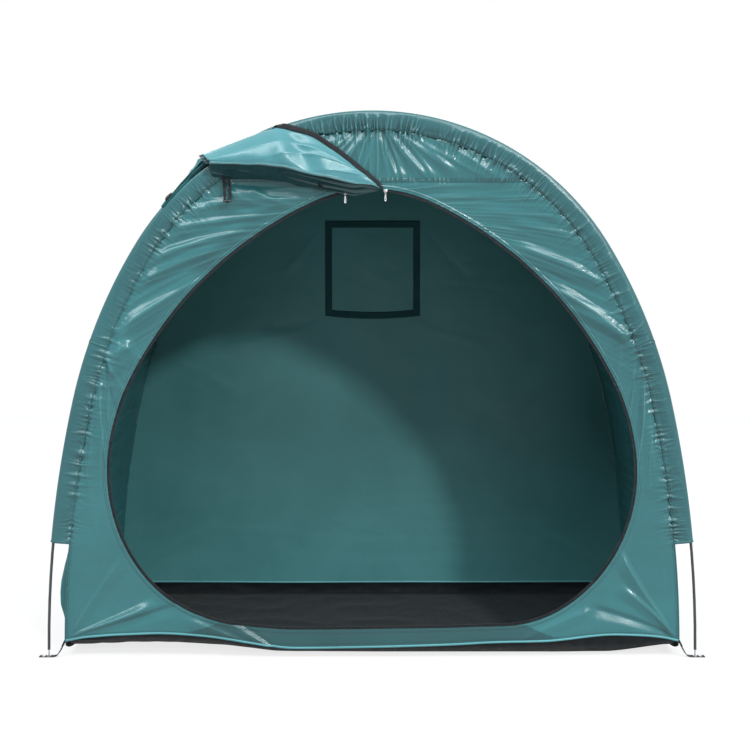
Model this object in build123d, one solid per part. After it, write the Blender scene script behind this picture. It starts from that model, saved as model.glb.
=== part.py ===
from build123d import *
import math
import os
from collections import namedtuple

# Fabric bike shelter: two bent pole hoops in sewn sleeves carry a fabric tunnel with a closed
# back, a zipped oval doorway in front and a black groundsheet. The door is unzipped and thrown
# back over the front hoop. Millimetres, +X right, +Y to the back, +Z up. The origin is on the
# ground, midway between the four corner straps.

# Hoops: each is a crown arc, two shoulder arcs and two leg arcs, tangent to one another. The crown's
# radius is a share of half the span
POLE_SPAN = 1980.0
POLE_HEIGHT = 1650.0
HOOP_SPACING = 800.0
CROWN_RADIUS_SHARE = 0.838
CROWN_ANGLE = 58.0
SHOULDER_ANGLE = 77.0
FOOT_ANGLE = 90.0

# Poles: glass-fibre rods pushed into steel ferrules, with a steel pin at each foot
POLE_DIAMETER = 8.5
POLE_SECTIONS = 7
SECTION_GAP = 1.5
FERRULE_LENGTH = 80.0
FERRULE_WALL = 0.9
FERRULE_CLEARANCE = 0.1
PIN_LENGTH = 22.0
PIN_DIAMETER = 5.0
PIN_POINT_LENGTH = 5.0
PIN_POINT_DIAMETER = 2.5

# Fabric panels and their seams
FABRIC = 3.0
SEAM_GAP = 0.3
HEM_HEIGHT = 45.0
SKIRT_GAP = 0.3
GROUNDSHEET_THICKNESS = 3.0

# Pole sleeves: a flat pocket of two layers outside the seam, with the pole along its outer edge
SLEEVE_WIDTH = 50.0
SLEEVE_CLEARANCE = 0.4
SLEEVE_WALL = 1.5
SLEEVE_SEAM_ALLOWANCE = 12.0
SLEEVE_MOUTH_HEIGHT = 357.0
SLEEVE_TACK_HEIGHT = 950.0
SLEEVE_HEM_GAP = 0.8

# Doorway: an egg-shaped opening in the front panel, flat at the sill. Its margins are from the pole,
# and its shares are of its own top height and half width
DOORWAY_SIDE_MARGIN = 139.0
DOORWAY_TOP_MARGIN = 225.0
DOORWAY_SILL_HEIGHT = 95.0
DOORWAY_WIDEST_SHARE = 0.393
DOORWAY_SILL_SHARE = 0.49
DOORWAY_CROWN_SHARE = 0.528
DOORWAY_CROWN_ANGLE = 24.0
DOORWAY_HAUNCH_ANGLE = 63.0
DOORWAY_CORNER_ANGLE = 140.0
CAP_SEAM_RISE = 25.0
SILL_END_RUN = 80.0
SILL_SLANT_RUN = 95.0

# Door zip: a tape round the doorway, open over the hinge, with a slider at each end
ZIP_WIDTH = 9.0
ZIP_HINGE_LEFT_ANGLE = 11.0
ZIP_HINGE_RIGHT_ANGLE = 5.5
SLIDER_WIDTH = 9.0
SLIDER_LENGTH = 13.0
SLIDER_THICKNESS = 5.0
PULL_WIDTH = 6.0
PULL_LENGTH = 30.0
PULL_THICKNESS = 1.5

# Open door: the fold that hangs in front of the sleeve, and the roll behind it on the roof
FOLD_HINGE_X = 30.0
FOLD_HINGE_RISE = 3.0
FOLD_LENGTH = 555.0
FOLD_CROWN_DROP = 40.0
FOLD_REACH = 66.0
FOLD_STANDOFF = 4.0
# One row a section: along the fold, top edge, bottom edge, reach in front of the wall, seat on the sleeve
FOLD_SHARES = (
    (0.0, 0.05, 0.0, 0.08, 0.0),
    (0.3, 0.5, 0.2, 0.5, 0.35),
    (0.58, 0.98, 0.34, 0.85, 1.0),
    (0.8, 0.74, 0.36, 1.0, 1.0),
    (1.0, 0.5, 0.34, 0.9, 1.0),
)
ROLL_START_ANGLE = 17.0
ROLL_END_ANGLE = 49.0
ROLL_DEPTH = 250.0
ROLL_HEIGHT = 46.0
ROLL_LIP = 4.0
# One row a section: along the hoop, depth behind the sleeve, height over the sleeve
ROLL_SHARES = (
    (0.0, 0.5, 0.12),
    (0.3, 0.9, 0.55),
    (0.65, 1.0, 1.0),
    (1.0, 0.6, 0.15),
)

# Door tie: a flat tape loop with a toggle, hanging from the seam under the fold
TIE_ANGLE = 35.0
TIE_SEAM_INSET = 5.0
TIE_DROP = 72.0
TIE_WIDTH = 20.0
TIE_TAPE = 6.0
TIE_TAPE_THICKNESS = 1.5
TOGGLE_DIAMETER = 8.0
TOGGLE_LENGTH = 26.0

# Vent window in the back panel, closed from inside by a flap in a hook-and-loop frame
WINDOW_SIZE = 350.0
WINDOW_TAPE_WIDTH = 25.0
WINDOW_OVERLAP = 25.0
WINDOW_CROWN_DROP = 433.0
WINDOW_FLAP_THICKNESS = 2.0
WINDOW_MESH_THICKNESS = 1.0

# Corner straps: webbing from the hem's corners to the pole pins, with a pin and a peg eyelet
STRAP_WIDTH = 20.0
STRAP_THICKNESS = 2.0
STRAP_END_REACH = 30.0
STRAP_BEND_INSET = 26.0
EYELET_DIAMETER = 13.0
EYELET_HEIGHT = 3.6
EYELET_CLEARANCE = 0.1
PIN_EYELET_BORE = 6.0
PEG_EYELET_BORE = 8.0
PEG_EYELET_SPACING = 16.0

# Guy tabs: triangles of fabric on the side walls, with a webbing edge
TAB_HEIGHT = 905.0
TAB_LENGTH = 60.0
TAB_REACH = 62.0
TAB_THICKNESS = 2.0
TAB_SETBACK = 12.0

OVERRUN = 40.0

Arc = namedtuple("Arc", "x z radius start end")


def two_radii(run, drop, start, middle, end):
    """Radii of two tangent arcs that turn from start to end and together cover run by drop."""
    sines = [math.sin(math.radians(a)) for a in (start, middle, end)]
    cosines = [math.cos(math.radians(a)) for a in (start, middle, end)]
    first_run, second_run = sines[1] - sines[0], sines[2] - sines[1]
    first_drop, second_drop = cosines[0] - cosines[1], cosines[1] - cosines[2]
    scale = first_run * second_drop - second_run * first_drop
    first = (run * second_drop - second_run * drop) / scale
    second = (first_run * drop - run * first_drop) / scale
    return first, second


class ArcChain:
    """Tangent arcs from a crown on the middle plane down both sides; angles are from straight up."""

    def __init__(self, crown_height):
        self.arcs = []
        self.end = (0.0, crown_height)
        self.end_angle = 0.0

    def add(self, radius, end_angle):
        turn = math.radians(self.end_angle)
        x = self.end[0] - radius * math.sin(turn)
        z = self.end[1] - radius * math.cos(turn)
        self.arcs.append(Arc(x, z, radius, self.end_angle, end_angle))
        turn = math.radians(end_angle)
        self.end = (x + radius * math.sin(turn), z + radius * math.cos(turn))
        self.end_angle = end_angle

    def add_pair(self, x, z, middle_angle, end_angle):
        """Two arcs that end at the point x, z."""
        run, drop = x - self.end[0], self.end[1] - z
        first, second = two_radii(run, drop, self.end_angle, middle_angle, end_angle)
        self.add(first, middle_angle)
        self.add(second, end_angle)

    def arc_at(self, angle):
        return next((a for a in self.arcs if abs(angle) <= a.end), self.arcs[-1])

    def point(self, angle, inset=0.0, y=0.0):
        """The place on the chain at an angle, negative on the left, moved inward by inset."""
        arc = self.arc_at(angle)
        turn = math.radians(abs(angle))
        reach = arc.radius - inset
        side = math.copysign(1.0, angle)
        return side * (arc.x + reach * math.sin(turn)), y, arc.z + reach * math.cos(turn)

    def spans(self, start, end):
        """Pairs of angles from start to end, one pair for each arc on the way."""
        breaks = [side * arc.end for arc in self.arcs[:-1] for side in (-1, 1)]
        stops = [start] + sorted(b for b in breaks if start < b < end) + [end]
        return list(zip(stops, stops[1:]))

    def edges(self, start, end, inset=0.0, y=0.0):
        made = []
        for first, last in self.spans(start, end):
            angles = (first, (first + last) / 2, last)
            made.append(ThreePointArc(*[self.point(a, inset, y) for a in angles]))
        return made

    def angle_at_height(self, z, inset=0.0):
        """The angle, on the right, at which the chain moved inward by inset is at height z."""
        for arc in self.arcs:
            low = arc.z + (arc.radius - inset) * math.cos(math.radians(arc.end))
            if z >= low or arc is self.arcs[-1]:
                return math.degrees(math.acos((z - arc.z) / (arc.radius - inset)))

    def length_to(self, angle):
        """Length along the chain from the crown to an angle on the right."""
        covered = 0.0
        for arc in self.arcs:
            if angle > arc.start:
                covered += arc.radius * math.radians(min(angle, arc.end) - arc.start)
        return covered

    def angle_at_length(self, length):
        """The signed angle at a signed length along the chain from the crown."""
        left = abs(length)
        for arc in self.arcs:
            here = arc.radius * math.radians(arc.end - arc.start)
            if left <= here or arc is self.arcs[-1]:
                return math.copysign(arc.start + math.degrees(left / arc.radius), length)
            left -= here

    def section_plane(self, angle, y):
        """A plane across the chain: its x is outward and its y is the object's +Y."""
        turn = math.radians(angle)
        outward = (math.sin(turn), 0, math.cos(turn))
        facing = (-math.cos(turn), 0, math.sin(turn))
        return Plane(origin=self.point(angle, 0.0, y), x_dir=outward, z_dir=facing)

    def swept(self, section, start, end, y):
        """A solid of one section, drawn on the section plane, carried from start to end."""
        made = None
        for first, last in self.spans(start, end):
            arc = self.arc_at((first + last) / 2)
            side = math.copysign(1.0, first + last)
            axis = Axis((side * arc.x, y, arc.z), (0, 1, 0))
            piece = revolve(self.section_plane(first, y) * section, axis, last - first)
            made = piece if made is None else made + piece
        return made


def hoop_chain():
    chain = ArcChain(POLE_HEIGHT)
    chain.add(CROWN_RADIUS_SHARE * POLE_SPAN / 2, CROWN_ANGLE)
    chain.add_pair(POLE_SPAN / 2, 0.0, SHOULDER_ANGLE, FOOT_ANGLE)
    return chain


def doorway_chain(hoop, top_height):
    widest_height = DOORWAY_WIDEST_SHARE * top_height
    hoop_x = hoop.point(hoop.angle_at_height(widest_height))[0]
    half_width = hoop_x - DOORWAY_SIDE_MARGIN
    chain = ArcChain(top_height)
    chain.add(DOORWAY_CROWN_SHARE * half_width, DOORWAY_CROWN_ANGLE)
    chain.add_pair(half_width, widest_height, DOORWAY_HAUNCH_ANGLE, 90.0)
    chain.add_pair(DOORWAY_SILL_SHARE * half_width, DOORWAY_SILL_HEIGHT, DOORWAY_CORNER_ANGLE, 180.0)
    return chain


HOOP = hoop_chain()
DOORWAY_TOP_HEIGHT = POLE_HEIGHT - DOORWAY_TOP_MARGIN
DOORWAY = doorway_chain(HOOP, DOORWAY_TOP_HEIGHT)
CAP_SEAM_HEIGHT = DOORWAY_TOP_HEIGHT + CAP_SEAM_RISE
WINDOW_HEIGHT = POLE_HEIGHT - WINDOW_CROWN_DROP
WINDOW_FLAP_SIZE = WINDOW_SIZE - 2 * WINDOW_TAPE_WIDTH
WINDOW_HOLE_SIZE = WINDOW_FLAP_SIZE - 2 * WINDOW_OVERLAP
FRONT = -HOOP_SPACING / 2
BACK = HOOP_SPACING / 2
FERRULE_RADIUS = POLE_DIAMETER / 2 + FERRULE_CLEARANCE + FERRULE_WALL
CHANNEL_BORE_RADIUS = FERRULE_RADIUS + SLEEVE_CLEARANCE
CHANNEL_RADIUS = CHANNEL_BORE_RADIUS + SLEEVE_WALL
PANEL_INSET = SLEEVE_WIDTH + SEAM_GAP
HEM_ANGLE = HOOP.angle_at_height(HEM_HEIGHT, PANEL_INSET)
MOUTH_ANGLE = HOOP.angle_at_height(SLEEVE_MOUTH_HEIGHT)
TACK_ANGLE = HOOP.angle_at_height(SLEEVE_TACK_HEIGHT, SLEEVE_WIDTH)
PIN_TOP_ANGLE = HOOP.angle_at_height(PIN_LENGTH + SEAM_GAP)
HEM_HALF_WIDTH = HOOP.point(HEM_ANGLE, SLEEVE_WIDTH)[0]
DEPTH_AXIS = (0, 1, 0)


def save(shape, node):
    export_step(shape, f"parts/{node}.step")


def joined(shapes):
    return Compound(children=[s for shape in shapes for s in shape.solids()])


def prism(corners, y, depth):
    """A straight-sided block from its x, z corners, running back from y."""
    face = make_face(Polyline(*[(x, y, z) for x, z in corners], close=True))
    return extrude(face, depth, dir=DEPTH_AXIS)


def plate(edges, y, thickness=FABRIC):
    """A panel from an outline drawn at y of zero, centred on the plane at y."""
    flat = extrude(make_face(edges), thickness, dir=DEPTH_AXIS)
    return flat.moved(Location((0, y - thickness / 2, 0)))


# Poles
def pole_joints():
    half = HOOP.length_to(PIN_TOP_ANGLE)
    section = 2 * half / POLE_SECTIONS
    return [section * i - half for i in range(POLE_SECTIONS + 1)]


def pole(y):
    """The rods of one hoop, a small gap apart inside their ferrules."""
    stops = pole_joints()
    rods = []
    for i in range(POLE_SECTIONS):
        start = stops[i] + (SECTION_GAP / 2 if i > 0 else 0.0)
        end = stops[i + 1] - (SECTION_GAP / 2 if i < POLE_SECTIONS - 1 else 0.0)
        angles = HOOP.angle_at_length(start), HOOP.angle_at_length(end)
        rods.append(HOOP.swept(Circle(POLE_DIAMETER / 2), *angles, y))
    return joined(rods)


def ferrules(y):
    ring = Circle(FERRULE_RADIUS) - Circle(POLE_DIAMETER / 2 + FERRULE_CLEARANCE)
    tubes = []
    for stop in pole_joints()[1:-1]:
        start = HOOP.angle_at_length(stop - FERRULE_LENGTH / 2)
        end = HOOP.angle_at_length(stop + FERRULE_LENGTH / 2)
        tubes.append(HOOP.swept(ring, start, end, y))
    return joined(tubes)


def pole_tips():
    """Four steel pins under the poles, each with a blunt point that stands on the ground."""
    shank = Pos(0, 0, (PIN_LENGTH + PIN_POINT_LENGTH) / 2)
    shank *= Cylinder(PIN_DIAMETER / 2, PIN_LENGTH - PIN_POINT_LENGTH)
    point = Pos(0, 0, PIN_POINT_LENGTH / 2)
    point *= Cone(PIN_POINT_DIAMETER / 2, PIN_DIAMETER / 2, PIN_POINT_LENGTH)
    pin = shank + point
    places = [(x, y, 0) for x in (-POLE_SPAN / 2, POLE_SPAN / 2) for y in (FRONT, BACK)]
    return joined([pin.moved(Location(place)) for place in places])


# Sleeves
def teardrop(radius, root, root_width):
    """A section that wraps a circle's outer half and narrows inward to a root."""
    wrap = ThreePointArc((0, -radius), (radius, 0), (0, radius))
    flanks = Polyline((0, radius), (-root, root_width / 2), (-root, -root_width / 2), (0, -radius))
    return make_face([wrap] + list(flanks.edges()))


def sleeve_section():
    outside = teardrop(CHANNEL_RADIUS, SLEEVE_WIDTH, FABRIC)
    pocket = teardrop(CHANNEL_BORE_RADIUS, SLEEVE_WIDTH - SLEEVE_SEAM_ALLOWANCE, SEAM_GAP)
    return outside - pocket


def sleeve(start, end, y):
    return HOOP.swept(sleeve_section(), start, end, y)


def sleeve_pieces(y):
    """Lower and upper sleeves of one hoop, each ending in a hem at the tack or the crown."""
    gap = math.degrees(SLEEVE_HEM_GAP / HOOP.arcs[0].radius) / 2
    spans = {
        "left_lower": (-MOUTH_ANGLE, -TACK_ANGLE - gap),
        "left_upper": (-TACK_ANGLE + gap, -gap),
        "right_upper": (gap, TACK_ANGLE - gap),
        "right_lower": (TACK_ANGLE + gap, MOUTH_ANGLE),
    }
    return {name: sleeve(start, end, y) for name, (start, end) in spans.items()}


# Front and back panels
def wall_outline():
    arch = HOOP.edges(-HEM_ANGLE, HEM_ANGLE, PANEL_INSET)
    hem = Line(HOOP.point(HEM_ANGLE, PANEL_INSET), HOOP.point(-HEM_ANGLE, PANEL_INSET))
    return arch + [hem]


def doorway_outline():
    egg = DOORWAY.edges(-180.0, 180.0)
    return egg + [Line(DOORWAY.point(180.0), DOORWAY.point(-180.0))]


def front_panels():
    """The front wall, cut into a cap over the cross seam, two sides and a sill with slanted ends."""
    y = FRONT - FABRIC / 2 - OVERRUN
    depth = FABRIC + 2 * OVERRUN
    wall = plate(wall_outline(), FRONT) - plate(doorway_outline(), FRONT, depth)
    far = POLE_SPAN
    above = prism([(-far, CAP_SEAM_HEIGHT), (far, CAP_SEAM_HEIGHT), (far, far), (-far, far)], y, depth)
    sill_end = DOORWAY.point(180.0)[0] + SILL_END_RUN
    slope = SILL_SLANT_RUN / (DOORWAY_SILL_HEIGHT - HEM_HEIGHT)
    low, high = HEM_HEIGHT - OVERRUN, DOORWAY_SILL_HEIGHT + OVERRUN
    low_half = sill_end + SILL_SLANT_RUN + slope * OVERRUN
    high_half = sill_end - slope * OVERRUN
    under = prism([(-low_half, low), (low_half, low), (high_half, high), (-high_half, high)], y, depth)
    left_half = prism([(-far, -far), (0, -far), (0, far), (-far, far)], y, depth)
    sides = wall - above - under
    return {
        "front_cap_panel": wall & above,
        "front_left_panel": sides & left_half,
        "front_right_panel": sides - left_half,
        "front_sill_panel": wall & under,
    }


def back_panel():
    hole = Pos(0, BACK, WINDOW_HEIGHT)
    hole *= Box(WINDOW_HOLE_SIZE, FABRIC + 2 * OVERRUN, WINDOW_HOLE_SIZE)
    return plate(wall_outline(), BACK) - hole


def window_pieces():
    """Mesh in the opening, and a flap inside it within a frame of hook-and-loop tape."""
    mesh_size = WINDOW_HOLE_SIZE - 2 * SEAM_GAP
    mesh_y = BACK + FABRIC / 2 - WINDOW_MESH_THICKNESS / 2
    mesh = Pos(0, mesh_y, WINDOW_HEIGHT) * Box(mesh_size, WINDOW_MESH_THICKNESS, mesh_size)
    flap_y = BACK - FABRIC / 2 - SEAM_GAP - WINDOW_FLAP_THICKNESS / 2
    place = Pos(0, flap_y, WINDOW_HEIGHT)
    inner = WINDOW_FLAP_SIZE - 2 * SEAM_GAP
    flap = place * Box(inner, WINDOW_FLAP_THICKNESS, inner)
    frame = place * Box(WINDOW_SIZE, WINDOW_FLAP_THICKNESS, WINDOW_SIZE)
    frame -= place * Box(WINDOW_FLAP_SIZE, WINDOW_FLAP_THICKNESS + OVERRUN, WINDOW_FLAP_SIZE)
    return {"window_mesh": mesh, "window_flap": flap, "window_tape_frame": frame}


# Tunnel between the hoops
def tunnel_strip(start, end):
    """A curved sheet between two angles, from the front wall to the back one."""
    outer = HOOP.edges(start, end, SLEEVE_WIDTH)
    inner = HOOP.edges(start, end, SLEEVE_WIDTH + FABRIC)
    ends = []
    for angle in (start, end):
        ends.append(Line(HOOP.point(angle, SLEEVE_WIDTH), HOOP.point(angle, SLEEVE_WIDTH + FABRIC)))
    half_depth = BACK - FABRIC / 2 - SEAM_GAP
    sheet = extrude(make_face(outer + inner + ends), 2 * half_depth, dir=DEPTH_AXIS)
    return sheet.moved(Location((0, -half_depth, 0)))


def tunnel_pieces():
    return {
        "left_wall": tunnel_strip(-HEM_ANGLE, -TACK_ANGLE),
        "left_roof": tunnel_strip(-TACK_ANGLE, 0.0),
        "right_roof": tunnel_strip(0.0, TACK_ANGLE),
        "right_wall": tunnel_strip(TACK_ANGLE, HEM_ANGLE),
    }


# Groundsheet and the black skirt that joins it to the hem
def ground_pieces():
    width = 2 * HEM_HALF_WIDTH
    depth = HOOP_SPACING + FABRIC
    floor = Pos(0, 0, GROUNDSHEET_THICKNESS / 2) * Box(width, depth, GROUNDSHEET_THICKNESS)
    low = GROUNDSHEET_THICKNESS
    height = HEM_HEIGHT - SKIRT_GAP - low
    middle = low + height / 2
    side_depth = depth - 2 * FABRIC
    side_x = HEM_HALF_WIDTH - FABRIC / 2
    return {
        "groundsheet": floor,
        "front_skirt": Pos(0, FRONT, middle) * Box(width, FABRIC, height),
        "back_skirt": Pos(0, BACK, middle) * Box(width, FABRIC, height),
        "left_skirt": Pos(-side_x, 0, middle) * Box(FABRIC, side_depth, height),
        "right_skirt": Pos(side_x, 0, middle) * Box(FABRIC, side_depth, height),
    }


# Corner straps
def corner_strap():
    """The right front strap: from the hem's corner down to the ground and out past the pin."""
    pin_x = POLE_SPAN / 2
    lift = (EYELET_HEIGHT - STRAP_THICKNESS) / 2
    top = HEM_HEIGHT - FABRIC
    start_x = HEM_HALF_WIDTH + SEAM_GAP
    bend_x = pin_x - STRAP_BEND_INSET
    end_x = pin_x + STRAP_END_REACH
    rise = math.atan2(top - lift, bend_x - start_x)
    along = STRAP_THICKNESS / math.sin(rise)
    bend_top_x = bend_x + STRAP_THICKNESS * math.tan(rise / 2)
    corners = [
        (start_x, top),
        (start_x + along, top),
        (bend_top_x, lift + STRAP_THICKNESS),
        (end_x, lift + STRAP_THICKNESS),
        (end_x, lift),
        (bend_x, lift),
    ]
    strap = prism(corners, FRONT - STRAP_WIDTH / 2, STRAP_WIDTH)
    for x in (pin_x, pin_x + PEG_EYELET_SPACING):
        radius = EYELET_DIAMETER / 2 + EYELET_CLEARANCE
        strap -= Pos(x, FRONT, 0) * Cylinder(radius, EYELET_HEIGHT + OVERRUN)
    return strap


def eyelets():
    """A ring for the pole's pin and a ring for a peg at each corner."""
    rings = []
    outer = Cylinder(EYELET_DIAMETER / 2, EYELET_HEIGHT)
    for reach, bore in ((0.0, PIN_EYELET_BORE), (PEG_EYELET_SPACING, PEG_EYELET_BORE)):
        ring = outer - Cylinder(bore / 2, EYELET_HEIGHT + OVERRUN)
        for side in (-1, 1):
            for y in (FRONT, BACK):
                place = (side * (POLE_SPAN / 2 + reach), y, EYELET_HEIGHT / 2)
                rings.append(ring.moved(Location(place)))
    return joined(rings)


# Zip round the doorway
def zip_pieces():
    return {
        "door_zip": plate(zip_outline(), FRONT),
        "left_zip_slider": zip_slider(-ZIP_HINGE_LEFT_ANGLE),
        "right_zip_slider": zip_slider(ZIP_HINGE_RIGHT_ANGLE),
    }


def zip_outline():
    """The tape's outline: down the right side, along the sill and up the left, and back inside."""
    outer, inner = SEAM_GAP, SEAM_GAP + ZIP_WIDTH
    made = []
    for inset in (outer, inner):
        made += DOORWAY.edges(ZIP_HINGE_RIGHT_ANGLE, 180.0, inset)
        made += DOORWAY.edges(-180.0, -ZIP_HINGE_LEFT_ANGLE, inset)
        made.append(Line(DOORWAY.point(180.0, inset), DOORWAY.point(-180.0, inset)))
    for angle in (ZIP_HINGE_RIGHT_ANGLE, -ZIP_HINGE_LEFT_ANGLE):
        made.append(Line(DOORWAY.point(angle, outer), DOORWAY.point(angle, inner)))
    return made


def zip_slider(angle):
    """A slider body in front of the tape's end, with its pull hanging straight down."""
    x, _, z = DOORWAY.point(angle, SEAM_GAP + ZIP_WIDTH / 2)
    y = FRONT - FABRIC / 2 - SEAM_GAP
    body = Pos(x, y - SLIDER_THICKNESS / 2, z)
    body *= Box(SLIDER_LENGTH, SLIDER_THICKNESS, SLIDER_WIDTH)
    pull_z = z - SLIDER_WIDTH / 2 - PULL_LENGTH / 2
    pull = Pos(x, y - SLIDER_THICKNESS / 2, pull_z) * Box(PULL_WIDTH, PULL_THICKNESS, PULL_LENGTH)
    eye_z = pull_z - PULL_LENGTH / 2 + PULL_WIDTH / 2
    eye = Pos(x, y - SLIDER_THICKNESS / 2, eye_z) * Rot(90, 0, 0)
    pull -= eye * Cylinder(PULL_WIDTH / 4, PULL_THICKNESS + OVERRUN)
    return body + pull


# Open door
def door_fold():
    """The part of the door in front of the sleeve, lofted through upright sections across it."""
    sections = []
    panel_face = FRONT - FABRIC / 2 - SEAM_GAP
    sleeve_face = FRONT - CHANNEL_RADIUS - FOLD_STANDOFF
    hinge_height = DOORWAY_TOP_HEIGHT + FOLD_HINGE_RISE
    fold_rise = POLE_HEIGHT - FOLD_CROWN_DROP - hinge_height
    for along, top, low, reach, seat in FOLD_SHARES:
        x = FOLD_HINGE_X - along * FOLD_LENGTH
        y = panel_face + seat * (sleeve_face - panel_face)
        z_top = hinge_height + top * fold_rise
        z_low = hinge_height + low * fold_rise
        out = y - reach * FOLD_REACH
        slack = (z_top - z_low) / 4
        wall = Line((x, y, z_low), (x, y, z_top))
        front = ThreePointArc((x, y, z_top), (x, (y + out) / 2, z_top - slack), (x, out, z_low))
        sections.append(make_face([wall, front, Line((x, out, z_low), (x, y, z_low))]))
    return loft(sections, ruled=True)


def door_roll():
    """The rest of the door, lying in a loose roll on the roof with its lip over the sleeve."""
    lip = CHANNEL_RADIUS + SEAM_GAP
    base = SEAM_GAP - SLEEVE_WIDTH
    sections = []
    for along, depth, height in ROLL_SHARES:
        angle = -(ROLL_START_ANGLE + along * (ROLL_END_ANGLE - ROLL_START_ANGLE))
        top = lip + ROLL_LIP + height * ROLL_HEIGHT
        back = lip + depth * ROLL_DEPTH
        crest = ThreePointArc((lip + ROLL_LIP, -lip), (top, back / 4), (base, back))
        rest = Polyline((base, back), (base, lip), (lip, lip), (lip, -lip), (lip + ROLL_LIP, -lip))
        sections.append(HOOP.section_plane(angle, FRONT) * make_face([crest] + list(rest.edges())))
    return loft(sections)


def door_tie():
    """A flat tape loop hung on the seam, round below where the toggle is."""
    x, _, top = HOOP.point(-TIE_ANGLE, PANEL_INSET + TIE_SEAM_INSET)
    y = FRONT - FABRIC / 2 - SEAM_GAP - TIE_TAPE_THICKNESS / 2
    place = Pos(x, y, top - TIE_DROP / 2) * Rot(90, 0, 0)
    loop = SlotOverall(TIE_DROP, TIE_WIDTH, rotation=90)
    loop -= SlotOverall(TIE_DROP - 2 * TIE_TAPE, TIE_WIDTH - 2 * TIE_TAPE, rotation=90)
    return extrude(place * loop, TIE_TAPE_THICKNESS / 2, both=True)


def door_toggle():
    """A barrel with thinner ends, lying across the loop's lower end."""
    x, _, top = HOOP.point(-TIE_ANGLE, PANEL_INSET + TIE_SEAM_INSET)
    y = FRONT - FABRIC / 2 - 2 * SEAM_GAP - TIE_TAPE_THICKNESS - TOGGLE_DIAMETER / 2
    barrel = Cylinder(TOGGLE_DIAMETER / 2, TOGGLE_LENGTH)
    barrel = chamfer(barrel.edges(), TOGGLE_DIAMETER / 4)
    return Pos(x, y, top - TIE_DROP + TIE_TAPE / 2) * Rot(0, 90, 0) * barrel


# Guy tabs
def guy_tab(side):
    """A triangle of fabric that stands out of the side wall just behind the front sleeve."""
    y = FRONT + TAB_SETBACK
    middle = HOOP.angle_at_height(TAB_HEIGHT, SLEEVE_WIDTH)
    spread = math.degrees(TAB_LENGTH / 2 / HOOP.arc_at(middle).radius)
    seat = SLEEVE_WIDTH - SEAM_GAP
    root = HOOP.edges(middle - spread, middle + spread, seat, y)
    tip = HOOP.point(middle + spread, seat - TAB_REACH, y)
    ends = [Line(HOOP.point(a, seat, y), tip) for a in (middle - spread, middle + spread)]
    tab = extrude(make_face(root + ends), TAB_THICKNESS, dir=DEPTH_AXIS)
    return tab if side > 0 else mirror(tab, about=Plane.YZ)


def main():
    os.makedirs("parts", exist_ok=True)
    nodes = {"pole_tips": pole_tips(), "strap_eyelets": eyelets(), "back_panel": back_panel()}
    for name, y in (("front", FRONT), ("back", BACK)):
        nodes[f"{name}_pole"] = pole(y)
        nodes[f"{name}_pole_ferrules"] = ferrules(y)
        for place, piece in sleeve_pieces(y).items():
            nodes[f"{name}_{place}_sleeve"] = piece
    for group in (front_panels, tunnel_pieces, ground_pieces, window_pieces, zip_pieces):
        nodes.update(group())
    strap = corner_strap()
    nodes["front_right_strap"] = strap
    nodes["front_left_strap"] = mirror(strap, about=Plane.YZ)
    nodes["back_right_strap"] = mirror(strap, about=Plane.XZ)
    nodes["back_left_strap"] = mirror(nodes["back_right_strap"], about=Plane.YZ)
    nodes["door_fold"] = door_fold()
    nodes["door_roll"] = door_roll()
    nodes["door_tie_loop"] = door_tie()
    nodes["door_tie_toggle"] = door_toggle()
    nodes["left_guy_tab"] = guy_tab(-1)
    nodes["right_guy_tab"] = guy_tab(1)
    for node, shape in nodes.items():
        save(shape, node)


main()
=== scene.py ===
"""Looks of the fabric bike shelter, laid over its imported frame. Metres, +X right, +Y to the back, +Z up."""

import math

import bpy
import numpy as np
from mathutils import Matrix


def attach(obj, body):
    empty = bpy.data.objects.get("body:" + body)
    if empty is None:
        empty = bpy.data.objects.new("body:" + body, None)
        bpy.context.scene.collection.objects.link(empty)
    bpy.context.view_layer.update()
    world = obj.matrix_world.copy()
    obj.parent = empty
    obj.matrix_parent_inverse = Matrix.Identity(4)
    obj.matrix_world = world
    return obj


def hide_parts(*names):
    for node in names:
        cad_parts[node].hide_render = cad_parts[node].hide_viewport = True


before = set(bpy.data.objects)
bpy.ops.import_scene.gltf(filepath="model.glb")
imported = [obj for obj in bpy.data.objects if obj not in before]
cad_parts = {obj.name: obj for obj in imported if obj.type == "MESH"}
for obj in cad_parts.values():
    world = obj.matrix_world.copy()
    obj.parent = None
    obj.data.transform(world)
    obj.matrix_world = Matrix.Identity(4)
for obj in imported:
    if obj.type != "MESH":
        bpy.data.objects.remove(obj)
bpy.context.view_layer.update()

# Lines of the frame, repeated from the part's source: metres, degrees and shares
FRONT_Y, BACK_Y = -0.400, 0.400
POLE_HEIGHT, HALF_SPAN = 1.650, 0.990
CROWN_RADIUS_SHARE = 0.838
CROWN_ANGLE, SHOULDER_ANGLE, FOOT_ANGLE = 58, 77, 90
SEAM_INSET = 0.050
CHANNEL_RADIUS = 0.00715
HEM_Z, MOUTH_Z, TACK_Z, CAP_SEAM_Z = 0.045, 0.357, 0.950, 1.450
DOOR_TOP, DOOR_MARGIN = 1.425, 0.139
DOOR_WIDEST_SHARE, DOOR_CROWN_SHARE, DOOR_SILL_SHARE = 0.393, 0.528, 0.49
DOOR_CROWN_ANGLE, DOOR_HAUNCH_ANGLE, DOOR_CORNER_ANGLE = 24, 63, 140
SLIDER_ANGLES = (11.0, 5.5)
SILL_Z, SILL_END, SILL_SLANT = 0.095, 0.475, 0.095
WINDOW_Z, WINDOW_HALF, WINDOW_TAPE, WINDOW_HOLE = 1.217, 0.175, 0.025, 0.125
PIN_X = HALF_SPAN
PEG_X = PIN_X + 0.016
TAB_Z = 0.905

FRONT_OUT, BACK_OUT, UP = (np.array(way) for way in ((0.0, -1.0, 0.0), (0.0, 1.0, 0.0), (0.0, 0.0, 1.0)))


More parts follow.
